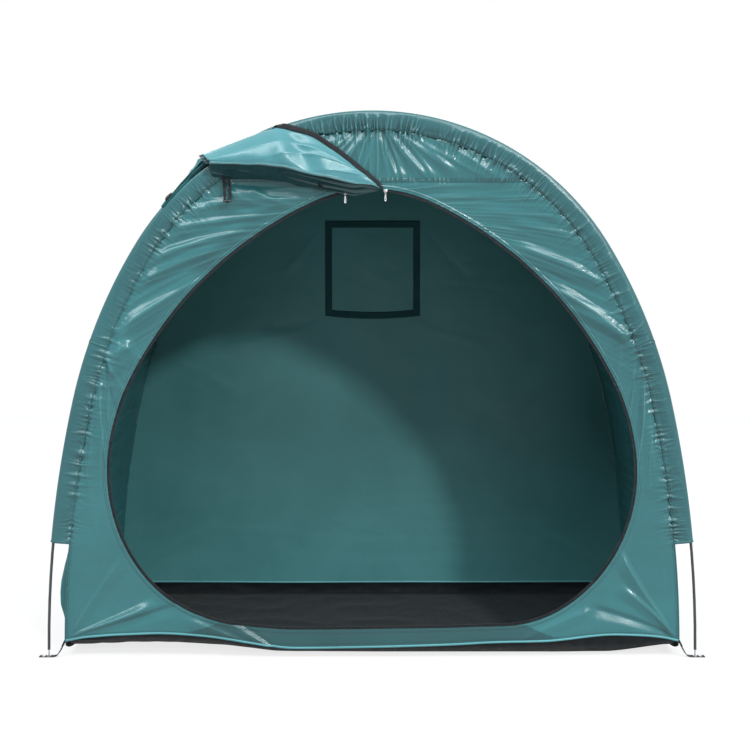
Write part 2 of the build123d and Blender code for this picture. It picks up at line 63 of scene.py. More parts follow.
class ArcLine:
    """Tangent arcs from a crown down both sides, then straight on. Lengths are negative on the left."""

    def __init__(self, top, radius, angle, *pairs):
        self.arcs = []
        self.end = np.array([0.0, top])
        self.turn = 0.0
        self.add(radius, math.radians(angle))
        for x, z, middle, last in pairs:
            self.add_pair(x, z, math.radians(middle), math.radians(last))
        self.centre_x, self.centre_z, self.radius, self.start, self.stop = np.array(self.arcs).T
        self.reach = np.concatenate([[0.0], np.cumsum(self.radius * (self.stop - self.start))])
        self.length = self.reach[-1]

    def add(self, radius, stop):
        centre = self.end - radius * np.array([math.sin(self.turn), math.cos(self.turn)])
        self.arcs.append((*centre, radius, self.turn, stop))
        self.end = centre + radius * np.array([math.sin(stop), math.cos(stop)])
        self.turn = stop

    def add_pair(self, x, z, middle, last):
        """Two arcs that end at the point x, z."""
        turns = np.array([self.turn, middle, last])
        runs, drops = np.diff(np.sin(turns)), -np.diff(np.cos(turns))
        first, second = np.linalg.solve([runs, drops], [x - self.end[0], self.end[1] - z])
        self.add(first, middle)
        self.add(second, last)

    def at(self, length, inset=0.0):
        """x, z, outward x and outward z at signed lengths, moved inward."""
        side, along = np.where(np.asarray(length) < 0, -1.0, 1.0), np.abs(length)
        i = np.clip(np.searchsorted(self.reach, along, "right") - 1, 0, len(self.arcs) - 1)
        held = np.minimum(along, self.length)
        turn = self.start[i] + (held - self.reach[i]) / self.radius[i]
        past = along - held
        x = self.centre_x[i] + (self.radius[i] - inset) * np.sin(turn) + past * np.cos(turn)
        z = self.centre_z[i] + (self.radius[i] - inset) * np.cos(turn) - past * np.sin(turn)
        return side * x, z, side * np.sin(turn), np.cos(turn)

    def locate(self, x, z):
        """Signed length and inset of places."""
        side, x = np.where(x < 0, -1.0, 1.0), np.abs(x)
        end_x, end_z = self.end
        turn = self.stop[-1]
        length = self.length + (x - end_x) * math.cos(turn) - (z - end_z) * math.sin(turn)
        inset = -(x - end_x) * math.sin(turn) - (z - end_z) * math.cos(turn)
        for i in range(len(self.arcs)):
            across, up = x - self.centre_x[i], z - self.centre_z[i]
            turn = np.arctan2(across, up)
            here = (turn >= self.start[i] - 1e-9) & (turn <= self.stop[i] + 1e-9)
            along = self.reach[i] + (turn - self.start[i]) * self.radius[i]
            length = np.where(here, along, length)
            inset = np.where(here, self.radius[i] - np.hypot(across, up), inset)
        return side * length, inset

    def length_at(self, z, inset=0.0):
        """The length, on the right, at which the line moved inward is at height z."""
        lengths = np.linspace(0.0, self.length, 4000)
        return float(np.interp(-z, -self.at(lengths, inset)[1], lengths))


HOOP = ArcLine(
    POLE_HEIGHT, CROWN_RADIUS_SHARE * HALF_SPAN, CROWN_ANGLE, (HALF_SPAN, 0.0, SHOULDER_ANGLE, FOOT_ANGLE)
)
DOOR_WIDEST_Z = DOOR_WIDEST_SHARE * DOOR_TOP
DOOR_HALF = float(HOOP.at(HOOP.length_at(DOOR_WIDEST_Z))[0]) - DOOR_MARGIN
DOOR = ArcLine(
    DOOR_TOP, DOOR_CROWN_SHARE * DOOR_HALF, DOOR_CROWN_ANGLE,
    (DOOR_HALF, DOOR_WIDEST_Z, DOOR_HAUNCH_ANGLE, 90),
    (DOOR_SILL_SHARE * DOOR_HALF, SILL_Z, DOOR_CORNER_ANGLE, 180),
)
DOOR_LENGTH = DOOR.length + DOOR.end[0]
SLIDER_LEFT, SLIDER_RIGHT = (float(DOOR.radius[0]) * math.radians(angle) for angle in SLIDER_ANGLES)
HEM_LENGTH = HOOP.length_at(HEM_Z, SEAM_INSET)
TACK_LENGTH = HOOP.length_at(TACK_Z, SEAM_INSET)
MOUTH_LENGTH = HOOP.length_at(MOUTH_Z)
HEM_HALF = float(HOOP.at(HEM_LENGTH, SEAM_INSET)[0])
CAP_HALF = float(HOOP.at(HOOP.length_at(CAP_SEAM_Z, SEAM_INSET), SEAM_INSET)[0])


# Small tools for shapes
class Noise:
    """Smooth gradient noise over two coordinates, about -0.7 to 0.7."""

    def __init__(self, seed):
        rng = np.random.default_rng(seed)
        self.table = np.concatenate([rng.permutation(256)] * 2)
        turns = rng.uniform(0, 2 * np.pi, 256)
        self.slope_x, self.slope_y = np.cos(turns), np.sin(turns)

    def __call__(self, x, y=0.0):
        x, y = np.broadcast_arrays(np.asarray(x, float), np.asarray(y, float))
        ix, iy = np.floor(x).astype(int), np.floor(y).astype(int)
        fx, fy = x - ix, y - iy

        def corner(dx, dy):
            pick = self.table[self.table[(ix + dx) & 255] + ((iy + dy) & 255)]
            return self.slope_x[pick] * (fx - dx) + self.slope_y[pick] * (fy - dy)

        wx, wy = (f * f * f * (f * (f * 6 - 15) + 10) for f in (fx, fy))
        low = corner(0, 0) * (1 - wx) + corner(1, 0) * wx
        high = corner(0, 1) * (1 - wx) + corner(1, 1) * wx
        return low * (1 - wy) + high * wy

    def layers(self, x, y, count=3):
        return sum(self(x * 2**i + 17.3 * i, y * 2**i - 9.1 * i) / 2**i for i in range(count))

    def crests(self, x, y):
        """Sharp crests between rounded hollows, 0 to 1."""
        return (1 - np.minimum(1, 2.2 * np.abs(self(x, y)))) ** 2


def ease(x, low=0.0, high=1.0):
    """A smooth step from 0 at low to 1 at high."""
    t = np.clip((x - low) / (high - low), 0.0, 1.0)
    return t * t * (3 - 2 * t)


def points(x, y, z):
    """Places from coordinates that are spread over each other."""
    return np.stack(np.broadcast_arrays(x, y, z), -1).astype(float)


def cross_grid(a, b):
    return np.meshgrid(a, b, indexing="ij")


def unit(v):
    return v / np.maximum(np.linalg.norm(v, axis=-1, keepdims=True), 1e-12)


def link_object(name, data):
    """A new object in the scene."""
    piece = bpy.data.objects.new(name, data)
    bpy.context.scene.collection.objects.link(piece)
    return piece


def make_piece(name, vertices, faces, material, slot, replaces=(), uv=None, **values):
    """A smooth-shaded mesh that rides on the frame; faces is an array of quads or a list of loops."""
    vertices = np.asarray(vertices).reshape(-1, 3)
    used = np.unique(np.concatenate([np.ravel(f) for f in faces]).astype(int))
    place = np.zeros(len(vertices), int)
    place[used] = np.arange(len(used))
    mesh = bpy.data.meshes.new(name)
    mesh.from_pydata(vertices[used].tolist(), [], [place[np.asarray(f, int)].tolist() for f in faces])
    mesh.polygons.foreach_set("use_smooth", np.ones(len(mesh.polygons), bool))
    if uv is not None:
        corners = np.zeros(len(mesh.loops), np.int32)
        mesh.loops.foreach_get("vertex_index", corners)
        places = np.asarray(uv).reshape(-1, 2)[used][corners]
        mesh.uv_layers.new(name="Weave").uv.foreach_set("vector", places.astype(np.float32).ravel())
    for key, value in values.items():
        layer = mesh.attributes.new(key, "FLOAT", "POINT")
        layer.data.foreach_set("value", np.ravel(value)[used].astype(np.float32))
    mesh.update()
    mesh.materials.append(material)
    piece = link_object(name, mesh)
    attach(piece, "root")
    if replaces:
        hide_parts(*replaces)
    return piece


def grid_faces(rows, columns, wrap_rows=False, wrap_columns=False):
    """Quads between the points of a grid."""
    i = np.arange(rows if wrap_rows else rows - 1)[:, None]
    j = np.arange(columns if wrap_columns else columns - 1)[None, :]
    i2, j2 = (i + 1) % rows, (j + 1) % columns
    quads = [i * columns + j, i * columns + j2, i2 * columns + j2, i2 * columns + j]
    return np.stack(np.broadcast_arrays(*quads), -1).reshape(-1, 4)


# How a sheet's bends colour it: the bend that counts as full, the fall-off of the ridges' paling (partly crease
# wear, partly painted highlight) and the painted shade in the hollows
SHARPEST_PERCENTILE = 97
RIDGE_POWER = 1.3
PAINTED_HOLLOW_SHADE = 0.6


def bend_shares(grid, wrap, outward):
    """0 to 1, high along the sharpest ridges of a sheet, and the same for its hollows."""
    edge = ["wrap" if wrap else "edge", "edge"]
    padded = grid
    for axis in (0, 1):
        width = [(0, 0)] * 3
        width[axis] = (1, 1)
        padded = np.pad(padded, width, mode=edge[axis])
    inner = padded[1:-1, 1:-1]
    sides = [(padded[2:, 1:-1], padded[:-2, 1:-1]), (padded[1:-1, 2:], padded[1:-1, :-2])]
    bends = [after + before - 2 * inner for after, before in sides]
    runs = [after - before for after, before in sides]
    out = unit(np.cross(*runs))
    steps = [np.maximum((run**2).sum(-1) / 4, 1e-8) for run in runs]
    bend = sum((b * out).sum(-1) / step for b, step in zip(bends, steps))
    bend *= outward / np.percentile(np.abs(bend), SHARPEST_PERCENTILE)
    return np.clip(-bend, 0, 1) ** RIDGE_POWER, np.clip(bend, 0, 1)


def cloth(name, grid, material, slot, replaces=(), wrap=False, flip=False, keep=None, shade=0.0, outward=1):
    """A sheet from a grid of points, with a weave map in metres.

    keep marks the cells that are not cut out. outward is -1 where the grid's sides are swapped, and 0 where
    neither ridges nor hollows are coloured."""
    rows, columns = grid.shape[:2]
    faces = grid_faces(rows, columns, wrap_rows=wrap)
    if keep is not None:
        faces = faces[keep.ravel()]
    steps = [np.linalg.norm(np.diff(grid, axis=a), axis=-1) for a in (0, 1)]
    along = np.concatenate([[0.0], np.cumsum(np.median(steps[0], axis=1))])
    across = np.concatenate([[0.0], np.cumsum(np.median(steps[1], axis=0))])
    uv = np.stack(np.meshgrid(along, across, indexing="ij"), -1)
    faces = faces[:, ::-1] if flip else faces
    # Ridges are paled, partly as crease wear and partly as painted highlight; the shade given and the hollows'
    # darkening are painted shade
    ridge, hollow = bend_shares(grid, wrap, outward)
    shade = np.maximum(np.broadcast_to(shade, hollow.shape), PAINTED_HOLLOW_SHADE * hollow)
    return make_piece(name, grid, faces, material, slot, replaces, uv, crest=ridge, shade=shade)


def slab(grid, out, thickness, keep=None, wrap=False):
    """Vertices and faces of a sheet with two sides; out is the way its outer side faces."""
    rows, columns = grid.shape[:2]
    count = rows * columns
    cells = grid_faces(rows, columns, wrap_rows=wrap)
    if keep is not None:
        cells = cells[keep.ravel()]
    edges = set()
    for cell in cells.tolist():
        for a, b in zip(cell, cell[1:] + cell[:1]):
            if (b, a) in edges:
                edges.remove((b, a))
            else:
                edges.add((a, b))
    faces = cells.tolist() + (cells[:, ::-1] + count).tolist()
    faces += [[b, a, a + count, b + count] for a, b in sorted(edges)]
    offset = np.broadcast_to(out, grid.shape) * thickness / 2
    return np.concatenate([(grid + offset).reshape(-1, 3), (grid - offset).reshape(-1, 3)]), faces


def loop_plate(outer, inner, thickness):
    """A flat plate with a hole: two loops of as many x, z points, thick along y."""
    half = thickness / 2
    sides = ((outer, -half), (inner, -half), (inner, half), (outer, half))
    grid = np.stack([points(loop[:, 0], y, loop[:, 1]) for loop, y in sides], 1)
    return grid.reshape(-1, 3), grid_faces(len(outer), 4, wrap_rows=True, wrap_columns=True).tolist()


def lathe(profile, turns=28):
    """A closed profile of radius and height turned round the upright axis."""
    radius, height = np.array(profile).T
    turn = (np.arange(turns) * 2 * np.pi / turns)[:, None]
    grid = points(radius * np.cos(turn), radius * np.sin(turn), height)
    return grid.reshape(-1, 3), grid_faces(turns, len(profile), wrap_rows=True, wrap_columns=True).tolist()


def moved(part, place, mirror=(1, 1, 1)):
    """A part's vertices and faces mirrored, then moved to a place."""
    vertices, faces = part
    turned = np.prod(mirror) < 0
    return np.asarray(vertices) * mirror + place, [list(f)[::-1] if turned else list(f) for f in faces]


def sweep(path, across, up, profile, scale=1.0):
    """Vertices and faces of a closed profile carried along a path, with its ends closed."""
    profile = np.asarray(profile)
    scale = np.broadcast_to(scale, len(path))[:, None, None]
    offset = across[:, None] * profile[None, :, :1] + up[:, None] * profile[None, :, 1:]
    grid = path[:, None] + offset * scale
    rows, columns = grid.shape[:2]
    faces = grid_faces(rows, columns, wrap_columns=True).tolist()
    faces += [list(range(columns)), list(range((rows - 1) * columns, rows * columns))[::-1]]
    return grid.reshape(-1, 3), faces


def sweep_along(path, up, profile):
    """A closed profile carried along a path, its second axis along up."""
    ahead = unit(np.gradient(path, axis=0))
    across = unit(np.cross(ahead, unit(np.broadcast_to(up, path.shape))))
    return sweep(path, across, unit(np.cross(across, ahead)), profile)


def tape_profile(width, thickness):
    """A flat band with rounded edges."""
    w, t, r = width / 2, thickness / 2, min(width, thickness) * 0.35
    low = [(-w, -t + r), (-w + r, -t), (w - r, -t), (w, -t + r)]
    return low + [(-x, -y) for x, y in low]


def round_profile(radius, sides=8):
    turn = np.arange(sides) * 2 * np.pi / sides
    return np.stack([radius * np.cos(turn), radius * np.sin(turn)], 1)


def merge(parts):
    """One part from many."""
    vertices, faces, count = [], [], 0
    for v, f in parts:
        vertices.append(np.asarray(v).reshape(-1, 3))
        faces += [[int(i) + count for i in loop] for loop in f]
        count += len(vertices[-1])
    return np.concatenate(vertices), faces


def along_path(path):
    """The length run at each place of a path."""
    return np.concatenate([[0.0], np.cumsum(np.linalg.norm(np.diff(path, axis=0), axis=1))])


def spaced(path, pitch, *others):
    """Places a pitch apart along a path, with what else is given at them."""
    lengths = along_path(path)
    stops = np.arange(pitch / 2, lengths[-1], pitch)
    pick = lambda values: np.stack([np.interp(stops, lengths, values[:, k]) for k in range(3)], 1)
    return [pick(path), unit(pick(np.gradient(path, axis=0)))] + [unit(pick(v)) for v in others]


def beads(rows, pitch, length, radius, across=False):
    """Vertices and faces of short threads or teeth that lie on a surface.

    A row is a path and the outward way at each place."""
    turn = np.arange(4) * np.pi / 2
    made = []
    for path, outward in rows:
        middle, ahead, out = spaced(path, pitch, np.broadcast_to(outward, path.shape))
        beside = unit(np.cross(out, ahead))
        if across:
            ahead, beside = beside, ahead
        ring = np.cos(turn)[:, None] * beside[:, None] + np.sin(turn)[:, None] * out[:, None]
        ends = [middle[:, None] + ahead[:, None] * reach * length + ring * radius for reach in (-0.3, 0.3)]
        tips = np.stack([middle - ahead * length / 2, middle + ahead * length / 2], 1)
        made.append(np.concatenate([*ends, tips], 1))
    vertices = np.concatenate(made)
    one = [[i, (i + 1) % 4, 4 + (i + 1) % 4, 4 + i] for i in range(4)]
    one += [[(i + 1) % 4, i, 8] for i in range(4)] + [[4 + i, 4 + (i + 1) % 4, 9] for i in range(4)]
    faces = [[10 * k + i for i in loop] for k in range(len(vertices)) for loop in one]
    return vertices.reshape(-1, 3), faces


# Materials
def math_node(tree, operation, *values):
    """A maths node's result, from sockets and plain numbers."""
    node = tree.nodes.new("ShaderNodeMath")
    node.operation = operation
    for socket, value in zip(node.inputs, values):
        if isinstance(value, bpy.types.NodeSocket):
            tree.links.new(value, socket)
        else:
            socket.default_value = value
    return node.outputs[0]


# One wave of the wave texture, for a scale of 1
WAVE_TURN = 6.2832


class Finish:
    """A node material with short ways to add and join nodes."""

    def __init__(self, name, **constants):
        self.material = bpy.data.materials.new(name)
        self.material.use_nodes = True
        self.tree = self.material.node_tree
        self.shader = self.tree.nodes["Principled BSDF"]
        for socket, value in constants.items():
            self.shader.inputs[socket.replace("_", " ")].default_value = value

    def add(self, kind, settings=None, **inputs):
        node = self.tree.nodes.new("ShaderNode" + kind)
        for key, value in (settings or {}).items():
            setattr(node, key, value)
        for key, value in inputs.items():
            socket = node.inputs[int(key[1:]) if key[1:].isdigit() else key.replace("_", " ")]
            if isinstance(value, bpy.types.NodeSocket):
                self.tree.links.new(value, socket)
            else:
                socket.default_value = value
        return node

    def place(self):
        return self.add("TexCoord").outputs["Object"]

    def noise(self, scale, detail=4.0, roughness=0.55, stretch=(1, 1, 1), distortion=0.0):
        at = self.add("Mapping", Vector=self.place(), Scale=stretch).outputs[0]
        inputs = {"Scale": scale, "Detail": detail, "Roughness": roughness, "Distortion": distortion}
        return self.add("TexNoise", Vector=at, **inputs).outputs[0]

    def ramp(self, value, low, high, bottom=0.0, top=1.0):
        inputs = {"Value": value, "From_Min": low, "From_Max": high, "To_Min": bottom, "To_Max": top}
        return self.add("MapRange", **inputs).outputs[0]

    def math(self, operation, a, b):
        return math_node(self.tree, operation, a, b)

    def mix(self, factor, a, b):
        node = self.add("Mix", {"data_type": "RGBA"}, _0=factor, _6=a, _7=b)
        return node.outputs[2]

    def bump(self, height, distance, strength=1.0, under=None):
        inputs = {"Height": height, "Distance": distance, "Strength": strength}
        if under is not None:
            inputs["Normal"] = under
        return self.add("Bump", **inputs).outputs[0]

    def threads(self, per_metre, where):
        """Crossing threads of a plain weave, 0 to 1."""
        waves = []
        for direction in ("X", "Y"):
            settings = {"wave_type": "BANDS", "bands_direction": direction}
            scale = per_metre / WAVE_TURN
            waves.append(self.add("TexWave", settings, Vector=where, Scale=scale).outputs[1])
        return self.math("MULTIPLY", waves[0], waves[1])

    def join(self, value, socket):
        self.tree.links.new(value, self.shader.inputs[socket])


def colour(*screen):
    """Linear colour from one as it looks on screen, 0 to 255."""
    shares = [c / 255 for c in screen]
    linear = [c / 12.92 if c <= 0.04045 else ((c + 0.055) / 1.055) ** 2.4 for c in shares]
    return (*linear, 1.0)


def coated_cloth(name, base, dark, pale, roughness=0.21, crinkle=0.0010, gloss=0.52):
    """Satin coated weave: soft mottling, paler crests that are partly crease wear and partly painted highlight,
    painted shade, fine creases and threads.
    """
    base, dark, pale = (colour(*screen) for screen in (base, dark, pale))
    f = Finish(name, Specular_IOR_Level=gloss, Sheen_Weight=0.02, Sheen_Roughness=0.35)
    tone = f.mix(f.ramp(f.noise(2.6, 4.0, 0.55), 0.35, 0.68), dark, base)
    slub = f.ramp(f.noise(420.0, 2.0, 0.5, (1.0, 1.0, 0.2)), 0.5, 0.8, 0.0, 0.05)
    tone = f.mix(slub, tone, pale)
    # Paler crests: partly crease wear, partly painted highlight
    crest = f.add("Attribute", {"attribute_name": "crest"}).outputs["Fac"]
    tone = f.mix(f.math("MULTIPLY", crest, 0.32), tone, pale)
    # Painted shade: the tone darkens towards a fifth of the dark colour in hollows, under the fold's lip, inside
    # folds and on the sill
    shade = f.add("Attribute", {"attribute_name": "shade"}).outputs["Fac"]
    tone = f.mix(shade, tone, (*(0.2 * c for c in dark[:3]), 1.0))
    f.join(tone, "Base Color")
    f.join(f.ramp(f.noise(11.0, 5.0, 0.6), 0.3, 0.75, roughness - 0.05, roughness + 0.07), "Roughness")
    warp = f.add("Mapping", Vector=f.place(), Scale=(1.0, 1.0, 0.7)).outputs[0]
    cells = f.add("TexVoronoi", {"feature": "DISTANCE_TO_EDGE"}, Vector=warp, Scale=13.0, Randomness=1.0)
    patches = f.ramp(f.noise(4.0, 2.0), 0.48, 0.66)
    creases = f.math("MULTIPLY", f.ramp(cells.outputs[0], 0.0, 0.10, 1.0, 0.0), patches)
    ripple = f.noise(16.0, 3.0, 0.5, distortion=0.8)
    height = f.math("ADD", f.math("MULTIPLY", ripple, 0.9), f.math("MULTIPLY", creases, 0.28))
    weave = f.threads(1400.0, f.add("UVMap", {"uv_map": "Weave"}).outputs[0])
    f.join(f.bump(weave, 0.00008, 0.4, f.bump(height, crinkle, 0.7)), "Normal")
    return f.material


def woven(name, base, pale, per_metre, roughness=0.75, rib=0.0003):
    """Ribbed tape or matte sheet."""
    f = Finish(name, Specular_IOR_Level=0.22, Sheen_Weight=0.06, Sheen_Roughness=0.5)
    threads = f.threads(per_metre, f.place())
    dust = f.ramp(f.noise(9.0, 6.0, 0.65), 0.5, 0.8, 0.0, 0.5)
    share = f.math("MAXIMUM", f.math("MULTIPLY", threads, 0.4), dust)
    f.join(f.mix(share, colour(*base), colour(*pale)), "Base Color")
    f.join(f.ramp(f.noise(40.0, 4.0), 0.3, 0.7, roughness - 0.1, roughness + 0.1), "Roughness")
    f.join(f.bump(f.math("ADD", threads, f.noise(70.0, 4.0)), rib, 0.7), "Normal")
    return f.material


def metal(name, base, worn, roughness):
    """Plated metal, duller where it is worn, with fine brushing."""
    f = Finish(name, Metallic=1.0)
    wear = f.noise(90.0, 6.0, 0.7)
    brushing = f.noise(300.0, 3.0, 0.5, (1, 1, 0.1))
    f.join(f.mix(f.ramp(wear, 0.4, 0.7, 0.0, 0.4), base, worn), "Base Color")
    f.join(f.ramp(brushing, 0.3, 0.7, roughness - 0.08, roughness + 0.12), "Roughness")
    f.join(f.bump(wear, 0.0002, 0.3), "Normal")
    return f.material


def rod(name, base, pale):
    """Glass-fibre rod or moulded plastic: long fine streaks under a satin skin."""
    f = Finish(name, Specular_IOR_Level=0.5, Coat_Weight=0.25, Coat_Roughness=0.25)
    streaks = f.noise(420.0, 4.0, 0.6, (1, 1, 0.06))
    f.join(f.mix(f.ramp(streaks, 0.4, 0.75, 0.0, 0.7), colour(*base), colour(*pale)), "Base Color")
    f.join(f.ramp(f.noise(60.0, 4.0), 0.3, 0.7, 0.34, 0.52), "Roughness")
    f.join(f.bump(streaks, 0.0002, 0.4), "Normal")
    return f.material


# Coated cloths: base, dark and pale colours on screen, then roughness, crinkle and gloss
SHELL = coated_cloth("shell_fabric_satin", (50, 116, 121), (42, 103, 108), (114, 174, 178))
TUNNEL = coated_cloth("shell_fabric_tunnel", (52, 117, 122), (44, 104, 109), (106, 166, 170), 0.58, 0.0010, 0.2)
# Sleeves, seam bands, bindings and the fold's inner layer: the shell fabric painted darker, as painted shade
SHADED_SLEEVE_CLOTH = coated_cloth("shell_fabric_sleeve_painted_shade", (45, 103, 108), (37, 90, 95), (106, 166, 170), 0.27)
# The back wall and window flap: the shell fabric painted lighter, as painted light on the shaded back
BRIGHTENED_BACK_CLOTH = coated_cloth("shell_fabric_back_painted_light", (80, 139, 142), (70, 127, 130), (114, 168, 170), 0.42, 0.0010, 0.3)
# The thrown-back door: the shell fabric painted lighter, as painted light from above
LIT_DOOR_CLOTH = coated_cloth("shell_fabric_door_painted_light", (82, 147, 155), (71, 134, 142), (138, 194, 200), 0.25)
# The rolled hem: the shell fabric painted lighter, as a painted highlight along the hem
HEM_HIGHLIGHT_CLOTH = coated_cloth("hem_binding", (92, 164, 170), (78, 146, 152), (150, 205, 208), 0.42, 0.0004)
# Woven goods: base and pale colours on screen, threads a metre, roughness and depth of the ribs
THREAD = woven("sewing_thread", (44, 82, 86), (96, 138, 140), 3000.0, 0.6, 0.00005)
GROUND = woven("ground_sheet_weave", (10, 16, 20), (24, 33, 37), 700.0, 0.75, 0.0006)
WEBBING = woven("webbing_rib", (22, 24, 28), (70, 74, 80), 900.0, 0.7, 0.0005)
ZIP_TAPE = woven("zip_tape_weave", (20, 24, 28), (60, 66, 70), 1500.0, 0.7, 0.0003)
HOOK_TAPE = woven("hook_tape_pile", (33, 74, 80), (52, 96, 101), 2200.0, 0.85, 0.0006)
NET = woven("vent_net", (26, 38, 40), (60, 78, 80), 1800.0, 0.8, 0.0003)
STEEL = metal("plated_steel", (0.62, 0.63, 0.65, 1), (0.25, 0.25, 0.26, 1), 0.28)
POLE = rod("glass_fibre_rod", (40, 43, 46), (74, 78, 80))
PLASTIC = rod("moulded_plastic", (28, 30, 33), (56, 60, 64))


# Relief of the cloth
FOLD_NOISE = [Noise(seed) for seed in (3, 11, 23, 37, 51, 67)]

# Pulled folds of the front wall: from x, z to x, z, then flank widths at both ends in mm,
# strength, and bow at mid-length in mm
FRONT_FOLDS = (
    (-0.800, 0.980, -0.520, 1.155, 30, 30, 8.2, 5),
    (-0.745, 1.075, -0.545, 1.175, 12, 16, 5, 4),
    (-0.700, 1.150, -0.452, 1.246, 22, 28, 8, 5),
    (-0.670, 1.212, -0.375, 1.300, 22, 30, 8, 6),
    (-0.625, 1.303, -0.320, 1.345, 20, 24, 7.5, 4),
    (-0.575, 1.350, -0.430, 1.385, 15, 18, 7, 3),
    (-0.815, 0.915, -0.720, 0.953, 38, 32, 6.5, 3),
    (-0.445, 1.412, -0.215, 1.392, 34, 28, 6.5, -4),
    (-0.366, 1.427, -0.240, 1.376, 10, 14, 5, -8),
    (-0.430, 1.418, -0.300, 1.372, 9, 13, 4, -8),
    (-0.003, 1.611, -0.084, 1.510, 7, 12, 6, 3),
    (0.009, 1.611, 0.000, 1.456, 7, 12, 5, 2),
    (0.027, 1.611, 0.084, 1.480, 7, 12, -5, -2),
    (0.042, 1.611, 0.156, 1.471, 7, 13, 5, -3),
    (0.069, 1.608, 0.249, 1.480, 8, 14, 4, -4),
    (0.810, 0.955, 0.530, 1.140, 16, 28, 7.5, -6),
    (0.815, 0.948, 0.600, 1.070, 9, 16, 4, -4),
    (0.720, 1.135, 0.425, 1.258, 14, 26, 7.2, -6),
    (0.650, 1.268, 0.420, 1.325, 12, 20, 4, -3),
    (0.600, 1.330, 0.330, 1.360, 12, 20, 3, -3),
    (0.825, 0.934, 0.814, 0.621, 8, 16, 7, 4),
    (0.813, 0.934, 0.758, 0.698, 8, 14, -5, 4),
    (0.834, 0.925, 0.860, 0.576, 8, 15, 6, -3),
    (0.847, 0.910, 0.912, 0.545, 8, 16, -5, -3),
    (-0.828, 0.934, -0.808, 0.600, 8, 16, 8, -4),
    (-0.819, 0.934, -0.770, 0.728, 8, 14, -6, -3),
    (-0.837, 0.928, -0.863, 0.576, 8, 16, 6, 4),
    (-0.847, 0.922, -0.901, 0.484, 8, 17, -5, 3),
    (-0.810, 0.934, -0.739, 0.789, 7, 12, 5, -2),
    (0.934, 0.052, 0.758, 0.321, 8, 18, 10, 6),
    (0.930, 0.052, 0.768, 0.213, 8, 16, 8, -4),
    (0.926, 0.049, 0.677, 0.145, 9, 18, -6, -4),
    (-0.928, 0.052, -0.673, 0.157, 10, 24, 9.8, -8),
    (-0.914, 0.052, -0.572, 0.163, 9, 18, -6, -6),
    (-0.920, 0.064, -0.769, 0.299, 9, 18, 5, 6),
    (-0.288, 0.033, -0.511, 0.142, 9, 18, 9, 4),
    (-0.270, 0.027, -0.459, 0.139, 8, 15, -6, 3),
    (-0.337, 0.030, -0.569, 0.108, 9, 16, 5, 4),
    (0.453, 0.052, 0.667, 0.139, 10, 20, 4, 4),
)
# Pulled folds of the back wall, seen from inside, in the same terms
BACK_FOLDS = (
    (-0.150, 1.030, -0.560, 0.930, 10, 22, 8, 12),
    (-0.160, 1.045, -0.480, 1.000, 9, 18, -6, 8),
    (0.140, 1.030, 0.420, 0.940, 10, 20, 7, -10),
    (-0.120, 1.030, 0.060, 0.965, 9, 16, 8, -14),
    (0.010, 0.985, 0.180, 1.030, 9, 15, 7, -10),
    (-0.175, 1.392, -0.330, 1.200, 8, 16, 6, 6),
    (0.175, 1.392, 0.360, 1.180, 8, 16, -5, -6),
    (-0.850, 0.930, -0.500, 0.760, 9, 22, 7, 8),
    (0.850, 0.930, 0.520, 0.720, 9, 22, 8, -8),
    (0.300, 0.700, 0.620, 0.560, 10, 20, 6, 5),
    (-0.900, 0.080, -0.600, 0.260, 9, 20, 8, 6),
    (0.900, 0.080, 0.620, 0.240, 9, 20, 8, -6),
)
# The front hem's height along its length, as it hangs
HEM_LINE = (
    (-0.940, 0.048), (-0.900, 0.060), (-0.780, 0.071), (-0.660, 0.077), (-0.600, 0.076), (-0.540, 0.072),
    (-0.480, 0.066), (-0.420, 0.057), (-0.360, 0.046), (-0.300, 0.036), (-0.240, 0.031), (-0.150, 0.031),
    (0.000, 0.035), (0.120, 0.038), (0.240, 0.042), (0.360, 0.049), (0.545, 0.053), (0.605, 0.060),
    (0.665, 0.068), (0.725, 0.073), (0.785, 0.071), (0.850, 0.067), (0.906, 0.059), (0.940, 0.048),
)
# The lower edge of the skirt under it
SKIRT_LINE = (
    (-0.940, 0.044), (-0.760, 0.040), (-0.640, 0.036), (-0.433, 0.024), (-0.300, 0.006), (0.0, 0.004),
    (0.610, 0.004), (0.740, 0.008), (0.860, 0.030), (0.940, 0.044),
)
# How steeply the front wall's pulls climb towards the doorway: height at PULL_X, degrees
PULL_X = 0.65
PULL_CLIMB = ((0.80, 38), (1.05, 32), (1.17, 21), (1.22, 16), (1.31, 6), (1.42, -4))
# Slope of a pleat's upper flank at full strength, the lower one's width against it, and how round its crest is
FOLD_SLOPE = 0.66
FOLD_FULL_STRENGTH = 9
FOLD_BELOW = 2.1
FOLD_ROUND = 0.08
# Makes a bow of 1 a millimetre at mid-length, where t * (1 - t) is a quarter
FOLD_BOW = 0.004
# How far the doorway's sides hang in from the hoop's plane
DOOR_SAG = 0.018
# Heights of the front wall's relief
FRONT_SWELL, FRONT_CRUMPLE = 0.006, 0.0010
FRONT_PULL, FRONT_DROP, FRONT_FAN = 0.0026, 0.0045, 0.006
FOOT_SWELL, SEAM_GROOVE, DOOR_HEM = 0.014, 0.0014, 0.0014
# Where the folds of the cap fan out from: x, z
CROWN_TACK = (0.018, 1.66)
# Heights of the back wall's relief
BACK_SWELL, BACK_CRESTS, BACK_CRUMPLE, BACK_PULL = 0.011, 0.0007, 0.0008, 0.25
# How far the tunnel is drawn in, the heights of its relief, and its bulge low behind the front edge
TUNNEL_DRAW, TUNNEL_FOOT_DRAW = 0.019, 0.006
TUNNEL_SWELL, TUNNEL_FAN, TUNNEL_CROSS, TUNNEL_CRUMPLE = 0.008, 0.010, 0.0040, 0.0015
BELLY_LEFT, BELLY_RIGHT, BELLY_Z = 0.034, 0.012, 0.20


def line_height(line, x):
    """A smooth height through a line's points."""
    x0, z0 = np.array(line).T
    dense = np.linspace(x0[0], x0[-1], 400)
    heights = np.interp(dense, x0, z0)
    window = np.hanning(21)
    padded = np.pad(heights, 10, mode="edge")
    return np.interp(x, dense, np.convolve(padded, window / window.sum(), "valid"))


